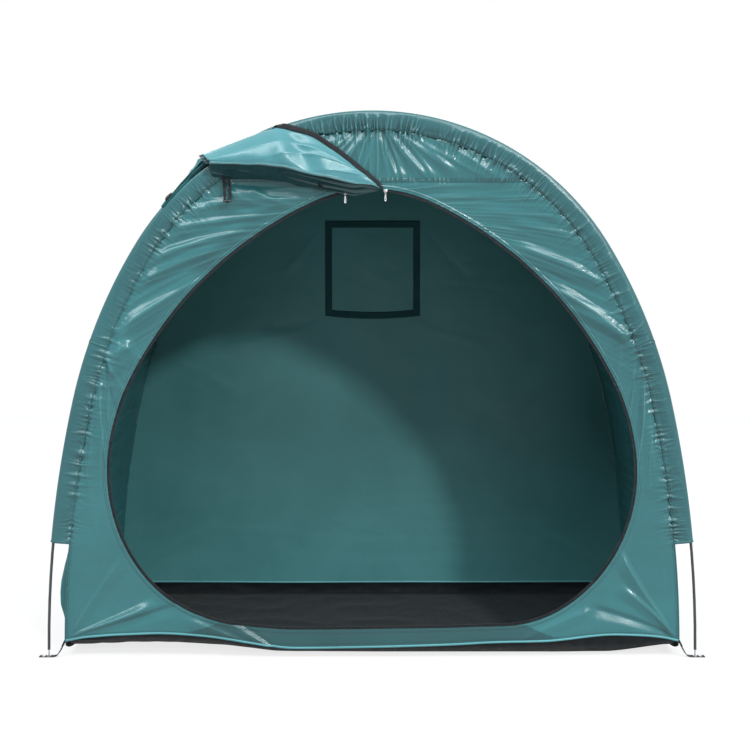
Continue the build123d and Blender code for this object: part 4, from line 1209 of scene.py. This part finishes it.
def fold_surface(u, w):
    """The fold's cloth: w is 0 on top, 1 at the lip, and on to 2 under it, back at the wall."""
    lip_x, lip_z, lip_out, top_x, top_z, top_out = smooth_lines(FOLD_LINES, np.clip(u, 0, 1))
    n = FOLD_NOISE
    down, under, tuck = np.clip(w, 0, 1), np.clip(w - 1, 0, 1), np.clip((u - 1) / 0.08, 0, 1)
    x = top_x + (lip_x - top_x) * down
    z = top_z + (lip_z - top_z) * down
    out = top_out + (lip_out - top_out) * np.sin(down * np.pi / 2) ** 0.85
    size = np.clip(u / 0.25, 0.0, 1.0)
    swell = np.sin(np.pi * down) ** 0.8 * size
    ray = np.arctan2(down, 0.25 + u) * 5.5
    creases = 0.0035 * (n[0].crests(u * 1.1 + 2.0, 0.6 * ray + 0.4) - 0.3) * (1 - 0.6 * ease(u, 0.5, 0.7))
    gather = 0.0030 * (n[4].crests(u * 8.0, down * 1.2) - 0.3) * np.exp(-((down / 0.30) ** 2))
    creases += gather * (1 - ease(u, 0.45, 0.6))
    facet = u - 0.53 + 0.06 * down
    out = out + swell * (0.005 + creases) - 0.011 * swell * np.exp(-((facet / 0.045) ** 2))
    out = out + 0.007 * swell * np.exp(-(((facet - 0.10) / 0.05) ** 2))
    curl = 0.0085 * size + 0.001
    turn = np.clip(under / 0.35, 0, 1) * np.pi
    back = np.clip((under - 0.35) / 0.65, 0, 1)
    out = out + np.where(under > 0, curl * np.sin(turn) * 0.7 - back * (lip_out - 0.004), 0.0)
    z = z - np.where(under > 0, curl * np.sin(turn / 2), 0.0) - np.where(under > 0, back * 0.032 * size, 0.0)
    out = out + 0.006 * (n[1].crests(u * 2.5, back * 2.2 + u) - 0.3) * np.sin(np.pi * back)
    ripple = 0.0060 * n[2](u * 8.0, 0.5) * size * np.exp(-(((w - 1) / 0.25) ** 2))
    bend = tuck * np.pi * 0.9
    x = x - 0.009 * np.sin(bend) * (1 + 0.5 * n[3](down * 3, 0.2)) + 0.012 * ease(tuck, 0.5, 1.0)
    out = out * (1 - 0.42 * (1 - np.cos(bend)) / 2)
    return points(x, FRONT_Y - np.maximum(out, 0.005) - ripple, z + ripple)


# Columns of the fold's grid that lie behind its crest, and the painted shade under its lip and inside it
FOLD_BACK_COLUMNS = 15
LIP_PAINTED_SHADE, INNER_PAINTED_SHADE = 0.9, 0.75
# The inner layer's depth as a share of the outer one's, from a plane this far in front of the hoop
INNER_SHARE, INNER_ROOM = 0.52, 0.010


def door_fold():
    """The fold's outer sheet, carried over the hoop, and a layer inside its open end; returns the sheet's grid."""
    u = np.concatenate([np.linspace(0.0, 1.0, 220) ** 0.9, np.linspace(1.0, 1.08, 16)[1:]])
    w = np.concatenate([np.linspace(0, 1, 56), np.linspace(1, 2, 34)[1:]])
    grid = fold_surface(*cross_grid(u, w))
    crest = ease(u, 0.52, 0.66)[:, None]
    over = np.linspace(1, 0, FOLD_BACK_COLUMNS + 1)[None, :-1]
    rise = 0.003 * crest * np.sin(np.pi * over) - 0.014 * crest * over**2
    behind = points(0.0, 0.055 * crest * np.sin(over * np.pi / 2), rise)
    grid = np.concatenate([grid[:, :1] + behind, grid], 1)
    # Painted shade on the underside below the lip
    shade = LIP_PAINTED_SHADE * ease(np.concatenate([np.zeros(FOLD_BACK_COLUMNS), w]), 1.02, 1.16)
    piece = cloth("door_fold_cloth", grid, LIT_DOOR_CLOTH, "shell_fabric", ["door_fold"], flip=True, shade=shade)
    # The inner layer uses the darker copy of the cloth, with painted shade inside the fold's open end
    u, w = cross_grid(np.linspace(0.72, 1.0, 60), np.linspace(0.06, 0.97, 40))
    inner = fold_surface(u, w)
    plane = FRONT_Y - INNER_ROOM
    inner[..., 1] = plane - INNER_SHARE * (plane - inner[..., 1]) - 0.004 * FOLD_NOISE[2](u * 9.0, w * 3.0)
    inner[..., 0] -= 0.020 * ease(u, 0.80, 1.0)
    inner[..., 2] -= 0.006 * ease(u, 0.80, 1.0)
    piece = cloth("door_fold_inner_cloth", inner, SHADED_SLEEVE_CLOTH, "shell_fabric", flip=True, shade=INNER_PAINTED_SHADE)
    return grid


# The bundle on the roof: from and to these angles of the hoop's crown
ROLL_SPAN = (19.5, 49.0)
# Along the bundle: its depth over the roof and its height over the hoop at the front
ROLL_LINES = (
    (0.075, 0.0090), (0.140, 0.0098), (0.200, 0.0130), (0.240, 0.0215),
    (0.250, 0.0325), (0.240, 0.0220), (0.190, 0.0135), (0.080, 0.0092),
)
# Round it: a depth, a share of its whole depth, a height and a share of its front height
ROLL_PROFILE = (
    (-0.0105, 0.00, 0.0010, 0.15), (-0.0135, 0.00, 0.0010, 0.38), (-0.0070, 0.02, 0.0005, 0.55),
    (-0.0030, 0.03, 0.0005, 0.66), (-0.0085, 0.02, 0.0005, 0.80), (-0.0010, 0.05, 0.0000, 1.00),
    (0.0000, 0.16, 0.0040, 1.00), (0.0000, 0.30, 0.0060, 1.05), (0.0000, 0.45, 0.0060, 1.00),
    (0.0000, 0.60, -0.0020, 0.85), (0.0000, 0.76, -0.0160, 0.45), (0.0000, 0.90, -0.0360, 0.10),
    (0.0000, 1.00, -0.0470, 0.00),
)


def roll_crests(u, w):
    """The bundle's main folds, 0 to 1."""
    return FOLD_NOISE[3].crests(u * 2.2 + 1.0, w * 5.0 + 0.8 * u)


def roll_surface(u, w):
    """The bundle on the roof: w runs from its front lip over the sleeve to its back edge."""
    n = FOLD_NOISE
    reach, front = smooth_lines(ROLL_LINES, u)
    depth, depth_share, height, height_share = smooth_lines(ROLL_PROFILE, w, 14)
    y = depth + depth_share * reach
    rise = height + height_share * front
    body = np.sin(np.pi * np.clip(u, 0.0, 1.0)) ** 0.6
    layers = 0.012 * (roll_crests(u, w) - 0.3) + 0.006 * (n[1].crests(u * 5.0, w * 9.0 + 2.0 * u) - 0.3)
    rise = rise + layers * body * ease(w, 0.38, 0.55) * (1 - ease(w, 0.92, 1.0))
    y = y + 0.004 * n[2](u * 6.0, w * 7.0) * body * (1 - ease(w, 0.4, 0.5))
    # It lies on the sleeve, and behind that on the roof
    over = SLEEVE_SWELL + 0.001
    sleeve = np.sqrt(np.maximum(1 - (y / over) ** 2, 0.0)) * (SLEEVE_MIDDLE + CHANNEL_RADIUS)
    sleeve = sleeve - SLEEVE_MIDDLE + 0.0012
    lowest = np.where(np.abs(y) < over, sleeve, np.where(y > 0, -SEAM_INSET + 0.004, -1.0))
    turn = np.radians(ROLL_SPAN[0] + u * (ROLL_SPAN[1] - ROLL_SPAN[0]))
    x, z, out_x, out_z = HOOP.at(-float(HOOP.radius[0]) * turn, 0.0)
    height = np.maximum(rise, lowest)
    return points(x + height * out_x, FRONT_Y + y, z + height * out_z)


def door_roll():
    """The bundle's cloth, and a length of zip tape that lies across it."""
    u, w = cross_grid(np.linspace(0, 1, 160), np.linspace(0, 1, 130))
    # Painted shade in the gaps between the bundle's folds, weaker towards its back
    shade = 0.85 * (1 - ease(roll_crests(u, w), 0.15, 0.55)) * (1 - 0.75 * ease(w, 0.40, 0.60))
    grid = roll_surface(u, w)
    piece = cloth("door_roll_cloth", grid, TUNNEL, "shell_fabric", ["door_roll"], shade=shade, outward=-1)
    w, u = cross_grid(np.linspace(0.02, 0.80, 140), np.linspace(0.885, 0.945, 7))
    grid = roll_surface(u, w)
    out = unit(np.cross(*np.gradient(grid, axis=(0, 1))))
    out *= np.sign(out[..., 2:])
    make_piece("door_roll_zip_tape", *slab(grid + 0.0022 * out, out, 0.0012), ZIP_TAPE, "zip_tape")


# Where the zip goes over the hoop, the share of the fold's length that it follows, and its tape's width
ZIP_OVER = ((-0.284, -0.402, 1.6135), (-0.296, -0.380, 1.6090), (-0.306, -0.352, 1.5960))
ZIP_FOLLOWS = 0.53
EDGE_TAPE = 0.018


def door_zip_edge(fold):
    """The other half of the zip, along the thrown-back door's free edge and over the hoop."""
    edge = fold[1 : int(ZIP_FOLLOWS * len(fold)), FOLD_BACK_COLUMNS] + [0.0, -0.004, 0.0]
    path = np.concatenate([edge[::3], ZIP_OVER])
    t = along_path(path)
    dense = np.linspace(0, t[-1], 260)
    path = np.stack([np.interp(dense, t, path[:, k]) for k in range(3)], 1)
    kernel = np.hanning(15) / np.hanning(15).sum()
    for k in range(3):
        path[7:-7, k] = np.convolve(path[:, k], kernel, "valid")
    end = dense[-1]
    turned = ease(dense, end - 0.10, end - 0.03)
    out = unit(points(0.0, -1.0 + 0.95 * turned, 0.30 + 0.9 * turned))
    ahead = unit(np.gradient(path, axis=0))
    across = unit(np.cross(out, ahead))
    out = unit(np.cross(ahead, across))
    wide = EDGE_TAPE * (0.35 + 0.65 * ease(dense, 0.0, 0.05)) * (1 - 0.5 * ease(dense, end - 0.09, end - 0.02))
    steps = np.linspace(-0.5, 0.5, 9)
    grid = path[:, None] + across[:, None] * (steps[None, :, None] - 0.15) * wide[:, None, None]
    grid += out[:, None] * 0.0012 * np.cos(np.pi * steps)[None, :, None]
    make_piece("door_edge_zip_tape", *slab(grid, out[:, None], 0.0011), ZIP_TAPE, "zip_tape")
    coil = path - across * 0.0085 + out * 0.0012
    teeth = beads([(coil[4:], out[4:])], COIL_PITCH, *EDGE_COIL, across=True)
    make_piece("door_edge_zip_coil", *teeth, PLASTIC, "zip_tape")


def zip_end():
    """The loose end of the zip's tape under the fold."""
    t = np.linspace(0, 1, 30)
    path = front_surface(-0.160 + 0.084 * t, 1.4360 - 0.0200 * t, 0.005)
    path[:, 1] -= 0.022 * (1 - t) ** 2
    offset = np.linspace(-1, 1, 7)[None, :] * (0.0085 - 0.0055 * t)[:, None]
    grid = path[:, None] + points(0.25, 0.0, 1.0) * offset[..., None]
    make_piece("door_zip_end_tape", *slab(grid, FRONT_OUT, 0.0012), ZIP_TAPE, "zip_tape")


# The tie: where it hangs from, how far down, and half its loop's width
TIE_X, TIE_Z, TIE_DROP, TIE_HALF = -0.4390, 1.4820, 0.0930, 0.0078
TIE_TURN = 0.12
# The toggle's barrel from end to end, and its radius there, in mm
BARREL_STATIONS = (-13, -12.4, -11, -8, -4, -2.2, 0, 2.2, 4, 8, 11, 12.4, 13)
BARREL_RADII = (1.2, 2.4, 3.2, 3.7, 3.9, 3.0, 2.7, 3.0, 3.9, 3.7, 3.2, 2.4, 1.2)


def door_tie():
    """A flat tape folded into a loop under the fold, with a barrel toggle in its end."""
    t = np.linspace(-1, 1, 110)
    bend = np.clip((np.abs(t) - TIE_TURN) / (1 - TIE_TURN), 0, 1)
    turn = np.clip(t / TIE_TURN, -1, 1) * np.pi / 2
    x = TIE_X + 0.008 * (1 - bend) + TIE_HALF * np.sin(turn) + 0.0012 * np.sin(4 * bend + t)
    z = TIE_Z - TIE_DROP * (1 - bend) - 0.005 * np.cos(turn)
    wall = front_surface(np.full(t.shape, TIE_X), np.clip(z, 1.38, 1.46))[:, 1]
    path = points(x, wall - 0.006 - 0.012 * (1 - bend) ** 1.5, z)
    band = sweep_along(path, FRONT_OUT, tape_profile(0.0080, 0.0020))
    make_piece("door_tie_tape", *band, WEBBING, "webbing", ["door_tie_loop"])
    at = path[len(t) // 2] + [0, -0.003, 0.001]
    stations, radii = (np.array(values) / 1000 for values in (BARREL_STATIONS, BARREL_RADII))
    axis = at + points(stations, 0.0, 0.0012 * np.sin(stations * 60))
    across, up = (np.broadcast_to(way, axis.shape) for way in (BACK_OUT, UP))
    barrel = sweep(axis, across, up, round_profile(1.0, 18), radii)
    make_piece("door_tie_barrel", *barrel, PLASTIC, "toggle_plastic", ["door_tie_toggle"])


# Window in the back wall: its sag, and the net's reach past the hole, pitch, thread and weave
WINDOW_SAG = 0.011
NET_LAP, NET_PITCH, NET_THREAD, NET_WEAVE = 0.004, 0.0027, 0.00035, 0.0002


def window_sag(x, z):
    """Heights on the window, let down in the middle of its lower half."""
    return z - WINDOW_SAG * (1 - (x / WINDOW_HALF) ** 2) * ease(WINDOW_Z - z, 0.0, WINDOW_HALF)


def window_frame():
    """The tape round the window, with two rows of stitches."""
    t = np.linspace(-1, 1, 44)[:-1]
    one = np.ones(t.shape)
    ring = np.concatenate([np.stack(side, 1) for side in ((t, one), (one, -t), (-t, -one), (-one, t))])
    across = np.linspace(WINDOW_HALF - WINDOW_TAPE, WINDOW_HALF, 7)
    x, z = ring[:, :1] * across, WINDOW_Z + ring[:, 1:] * across
    wave = 0.0012 * FOLD_NOISE[1](x / 0.05, z / 0.05)
    grid = back_surface(x, window_sag(x, z), -0.0032) - points(0.0, wave, 0.0)
    tape = slab(grid, FRONT_OUT, 0.0020, wrap=True)
    make_piece("window_tape", *tape, HOOK_TAPE, "hook_tape", ["window_tape_frame"])
    rows = []
    for inset in (0.003, WINDOW_TAPE - 0.003):
        x, z = (np.concatenate([ring, ring[:1]]) * (WINDOW_HALF - inset)).T
        rows.append((back_surface(x, window_sag(x, WINDOW_Z + z), -0.0046), FRONT_OUT))
    stitches("window_stitches", rows)


def window_flap():
    """The cloth that hangs inside the frame."""
    n = FOLD_NOISE
    side = WINDOW_HALF - WINDOW_TAPE + 0.004
    x, z = cross_grid(np.linspace(-side, side, 70), WINDOW_Z + np.linspace(-side, side, 70))
    edge = side - np.maximum(np.abs(x), np.abs(z - WINDOW_Z))
    slack = 0.0025 * n[2].layers(x / 0.17, z / 0.15 + 3, 2)
    slack = ease(edge, 0.0, 0.05) * (slack + 0.0008 * (n[0].crests(x / 0.2 + z / 0.1, z / 0.3) - 0.3))
    grid = back_surface(x, window_sag(x, z), -0.0024)
    grid[..., 1] -= np.maximum(slack, -0.001)
    flap = cloth("window_flap_cloth", grid, BRIGHTENED_BACK_CLOTH, "shell_fabric", ["window_flap"], outward=0)


def window_net():
    """Crossing threads over the hole."""
    half = WINDOW_HOLE + NET_LAP
    ends = np.array([-half, half])
    bars = []
    for at in np.arange(-half, half, NET_PITCH):
        for x, z, lift in ((ends, at, NET_WEAVE), (at, ends, -NET_WEAVE)):
            path = points(x, BACK_Y + 0.0012 + lift, WINDOW_Z + z)
            bars.append(sweep_along(path, BACK_OUT, round_profile(NET_THREAD, 4)))
    make_piece("window_net", *merge(bars), NET, "vent_mesh", ["window_mesh"])


# Corner straps with their eyelets, and the guy tabs: half the strap's width, half its holes, and its way down
# from the wall to the holes
STRAP_HALF, STRAP_HOLE = 0.010, 0.0045
STRAP_X = (0.9385, 0.9405, 0.9435, 0.9470, 0.9510, 0.9555, 0.9600, 0.9645, 0.9690, 0.9750, 0.9800)
STRAP_Z = (0.052, 0.047, 0.041, 0.034, 0.0265, 0.018, 0.0106, 0.0054, 0.0030, 0.0021, 0.0019)
STRAP_FLAT_Z = 0.0018
STRAP_ENDS = (1.0150, 1.0190)
# An eyelet's profile: radius and height of its outer side, then of the rims below and above, past the bore's radius
EYELET_OUTER = (
    (0.0058, 0.0), (0.0065, 0.0005), (0.0065, 0.0010), (0.0061, 0.0014), (0.0061, 0.0024), (0.0065, 0.0027),
    (0.0063, 0.0032), (0.0056, 0.0036),
)
EYELET_BELOW = ((0.0, 0.0010), (0.0004, 0.0003), (0.0012, 0.0))
EYELET_ABOVE = ((0.0010, 0.0036), (0.0003, 0.0033), (0.0, 0.0026))
PIN_BORE, PEG_BORE = 0.0030, 0.0040
CORNERS = {"front_right": (1, -1), "front_left": (-1, -1), "back_right": (1, 1), "back_left": (-1, 1)}


def eyelet(bore):
    """A rolled ring round a bore."""
    below, above = ([(bore + r, z) for r, z in rim] for rim in (EYELET_BELOW, EYELET_ABOVE))
    return lathe([*below, *EYELET_OUTER, *above])


def corner_straps():
    """Webbing from each lower corner to the ground, with an eyelet for the pole's pin and one for a peg."""
    sewn = len(STRAP_X)
    flat = [at + edge for at in (PIN_X, PEG_X) for edge in (-STRAP_HOLE, STRAP_HOLE)]
    x = np.array([*STRAP_X, *flat, *STRAP_ENDS])
    z = np.array([*STRAP_Z, *[STRAP_FLAT_Z] * (len(x) - sewn)])
    y = np.array([-STRAP_HALF, -0.0085, -STRAP_HOLE, 0.0, STRAP_HOLE, 0.0085, STRAP_HALF])
    grid = points(x[:, None], y[None, :], z[:, None])
    run = unit(np.gradient(grid[:, 0], axis=0))
    out = points(-run[:, 2], 0.0, run[:, 0])[:, None]
    keep = np.ones((len(x) - 1, len(y) - 1), bool)
    keep[[sewn, sewn + 2], 2:4] = False
    band = slab(grid, out, 0.0018, keep)
    fold = slab(grid[:4] + out[:4] * 0.0019, out[:4], 0.0016)
    over = np.where(np.arange(sewn)[:, None] < 4, 0.0030, 0.0012)
    paths = [points(x[:sewn], side, z[:sewn]) + out[:sewn, 0] * over for side in (-0.0072, 0.0072)]
    thread = beads([(path, out[:sewn, 0]) for path in paths], 0.0048, 0.0032, 0.0005)
    threads, rings = [], []
    for name, (side, end) in CORNERS.items():
        place, turned = (0.0, end * BACK_Y, 0.0), (side, end, 1)
        strap = merge([moved(part, place, turned) for part in (band, fold)])
        make_piece(name + "_webbing", *strap, WEBBING, "webbing", [name + "_strap"])
        threads.append(moved(thread, place, turned))
        for at, bore in ((PIN_X, PIN_BORE), (PEG_X, PEG_BORE)):
            rings.append(moved(eyelet(bore), (side * at, end * BACK_Y, 0.0)))
    make_piece("strap_stitches", *merge(threads), THREAD, "webbing")
    make_piece("strap_eyelet_rings", *merge(rings), STEEL, "steel", ["strap_eyelets"])


def guy_tabs():
    """Triangles of doubled cloth with a taped edge, sewn to the walls behind the front sleeve."""
    middle, half, y = HOOP.length_at(TAB_Z, SEAM_INSET), 0.030, FRONT_Y + 0.013
    share = np.linspace(0, 0.94, 18)[None, :, None]
    for name, side in (("left", -1), ("right", 1)):
        root = tunnel_surface(side * np.linspace(middle - half, middle + half, 24), y)
        tip_x, tip_z = HOOP.at(side * (middle + half), -0.0115)[:2]
        tip = np.array([float(tip_x), y + 0.002, float(tip_z)])
        grid = root[:, None] * (1 - share) + tip * share
        grid[..., 1] += 0.0022 * np.sin(np.pi * share[..., 0]) * np.sin(np.linspace(0, 5, 24))[:, None]
        tab = slab(grid, BACK_OUT, 0.0016)
        make_piece(name + "_tab_cloth", *tab, SHELL, "shell_fabric", [name + "_guy_tab"])
        edge = np.concatenate([grid[0, :], grid[1:-1, -1], grid[-1, ::-1]])
        tape = sweep_along(edge, BACK_OUT, tape_profile(0.0050, 0.0030))
        make_piece(name + "_tab_edge", *tape, WEBBING, "webbing")


# Nodes that keep their shape get a finish
KEPT_NODES = {
    "front_pole": POLE, "back_pole": POLE,
    "front_pole_ferrules": STEEL, "back_pole_ferrules": STEEL, "pole_tips": STEEL,
}


def finish_nodes():
    for node, material in KEPT_NODES.items():
        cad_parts[node].data.materials.clear()
        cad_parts[node].data.materials.append(material)


# Stage, light and camera
WHITE = (1, 1, 1, 1)
FLOOR_HALF = 8.0
FLOOR_GLOW_SHARE = 0.78
PAVING_GREY = 0.36
SKY_HORIZON, SKY_ZENITH, SKY_COLOUR = 0.16, 0.75, (0.92, 0.98, 1.0, 1)
KEY_STRENGTH, KEY_COLOUR = 1.05, (1.0, 0.985, 0.96)
KEY_AZIMUTH, KEY_RISE, KEY_SPREAD = 31, 26, 5
# Soft boxes: name, place, width and height, watts
SOFT_BOXES = (
    ("front_box", (0.0, -6.4, 9.0), (20.0, 3.2), 1500),
    ("back_box", (0.0, 6.8, 5.0), (12.0, 3.0), 240),
)
BOX_COLOUR, BOX_AIM_Z = (0.93, 0.98, 1.0), 1.0
# The photograph's camera: place, tilt down in degrees, focal length in pixels of the square image
CAMERA_PLACE, CAMERA_TILT = (0.009, FRONT_Y - 3.5, 1.05), 3.03
FOCAL_PIXELS, IMAGE_PIXELS, SENSOR_WIDTH = 1158.2, 750, 36.0


def seen_rays(tree):
    """1 for rays that look at the backdrop, straight or in a reflection, 0 for rays that carry its light."""
    path = tree.nodes.new("ShaderNodeLightPath")
    seen = path.outputs["Is Camera Ray"]
    for name in ("Is Glossy Ray", "Is Transmission Ray"):
        seen = math_node(tree, "MAXIMUM", seen, path.outputs[name])
    return seen


def floor():
    """A pale floor that shows white with the shelter's shadow, and throws light back like grey paving."""
    f = Finish("pale_floor", Roughness=0.9, Specular_IOR_Level=0.0)
    f.join(f.ramp(f.noise(2.0, 3.0), 0.3, 0.7, 0.93, 0.96), "Base Color")
    white = f.add("Emission", Color=WHITE, Strength=1.0).outputs[0]
    bright = f.add("MixShader", _0=FLOOR_GLOW_SHARE, _1=f.shader.outputs[0], _2=white).outputs[0]
    paving = f.add("BsdfDiffuse", Color=(PAVING_GREY, PAVING_GREY, PAVING_GREY, 1)).outputs[0]
    both = f.add("MixShader", _0=seen_rays(f.tree), _1=paving, _2=bright).outputs[0]
    f.tree.links.new(both, f.tree.nodes["Material Output"].inputs["Surface"])
    mesh = bpy.data.meshes.new("floor")
    corners = [(x * FLOOR_HALF, y * FLOOR_HALF, 0) for x, y in ((-1, -1), (1, -1), (1, 1), (-1, 1))]
    mesh.from_pydata(corners, [], [(0, 1, 2, 3)])
    mesh.materials.append(f.material)
    link_object("floor", mesh)


def sky():
    """Soft light that grows from the horizon to overhead, white where it is looked at."""
    world = bpy.data.worlds.new("studio")
    bpy.context.scene.world = world
    world.use_nodes = True
    tree = world.node_tree
    nodes, link = tree.nodes, tree.links.new
    split = nodes.new("ShaderNodeSeparateXYZ")
    link(nodes.new("ShaderNodeTexCoord").outputs["Generated"], split.inputs[0])
    rise = math_node(tree, "MAXIMUM", split.outputs["Z"], 0.0)
    zenith = math_node(tree, "MULTIPLY", math_node(tree, "MULTIPLY", rise, rise), SKY_ZENITH)
    glow, white = nodes["Background"], nodes.new("ShaderNodeBackground")
    glow.inputs["Color"].default_value = SKY_COLOUR
    link(math_node(tree, "ADD", zenith, SKY_HORIZON), glow.inputs["Strength"])
    white.inputs["Color"].default_value = WHITE
    white.inputs["Strength"].default_value = 1.0
    mix = nodes.new("ShaderNodeMixShader")
    for socket, source in zip(mix.inputs, (seen_rays(tree), glow.outputs[0], white.outputs[0])):
        link(source, socket)
    link(mix.outputs[0], nodes["World Output"].inputs["Surface"])


def key_light():
    """A distant light from the front, a little to the right."""
    data = bpy.data.lights.new("key", "SUN")
    data.energy, data.color, data.angle = KEY_STRENGTH, KEY_COLOUR, math.radians(KEY_SPREAD)
    lamp = link_object("key", data)
    lamp.rotation_euler = (math.radians(90 - KEY_RISE), 0, math.radians(KEY_AZIMUTH))


def soft_box(name, place, size, watts):
    """A wide soft light, turned to the middle of the nearer wall."""
    data = bpy.data.lights.new(name, "AREA")
    data.energy, data.color, data.shape = watts, BOX_COLOUR, "RECTANGLE"
    data.size, data.size_y = size
    lamp = link_object(name, data)
    lamp.location = place
    near = math.copysign(FRONT_Y, place[1])
    lamp.rotation_euler = (math.atan2(near - place[1], place[2] - BOX_AIM_Z), 0, 0)


def stage():
    scene = bpy.context.scene
    scene.view_settings.view_transform = "Standard"
    floor()
    sky()
    key_light()
    for box in SOFT_BOXES:
        soft_box(*box)
    camera = link_object("camera", bpy.data.cameras.new("camera"))
    camera.location = CAMERA_PLACE
    camera.rotation_euler = (math.radians(90 - CAMERA_TILT), 0, 0)
    camera.data.sensor_width = SENSOR_WIDTH
    camera.data.lens = SENSOR_WIDTH * FOCAL_PIXELS / IMAGE_PIXELS
    scene.camera = camera


front_wall()
back_wall()
tunnel()
sleeves()
seam_allowances()
groundsheet()
front_skirt()
other_skirts()
wall_seams()
roof_seams()
hem_bindings()
sleeve_mouths()
doorway_zip()
zip_slider("left_zip_slider", -SLIDER_LEFT)
zip_slider("right_zip_slider", SLIDER_RIGHT)
fold_grid = door_fold()
door_roll()
door_zip_edge(fold_grid)
zip_end()
door_tie()
window_frame()
window_flap()
window_net()
corner_straps()
guy_tabs()
finish_nodes()
stage()
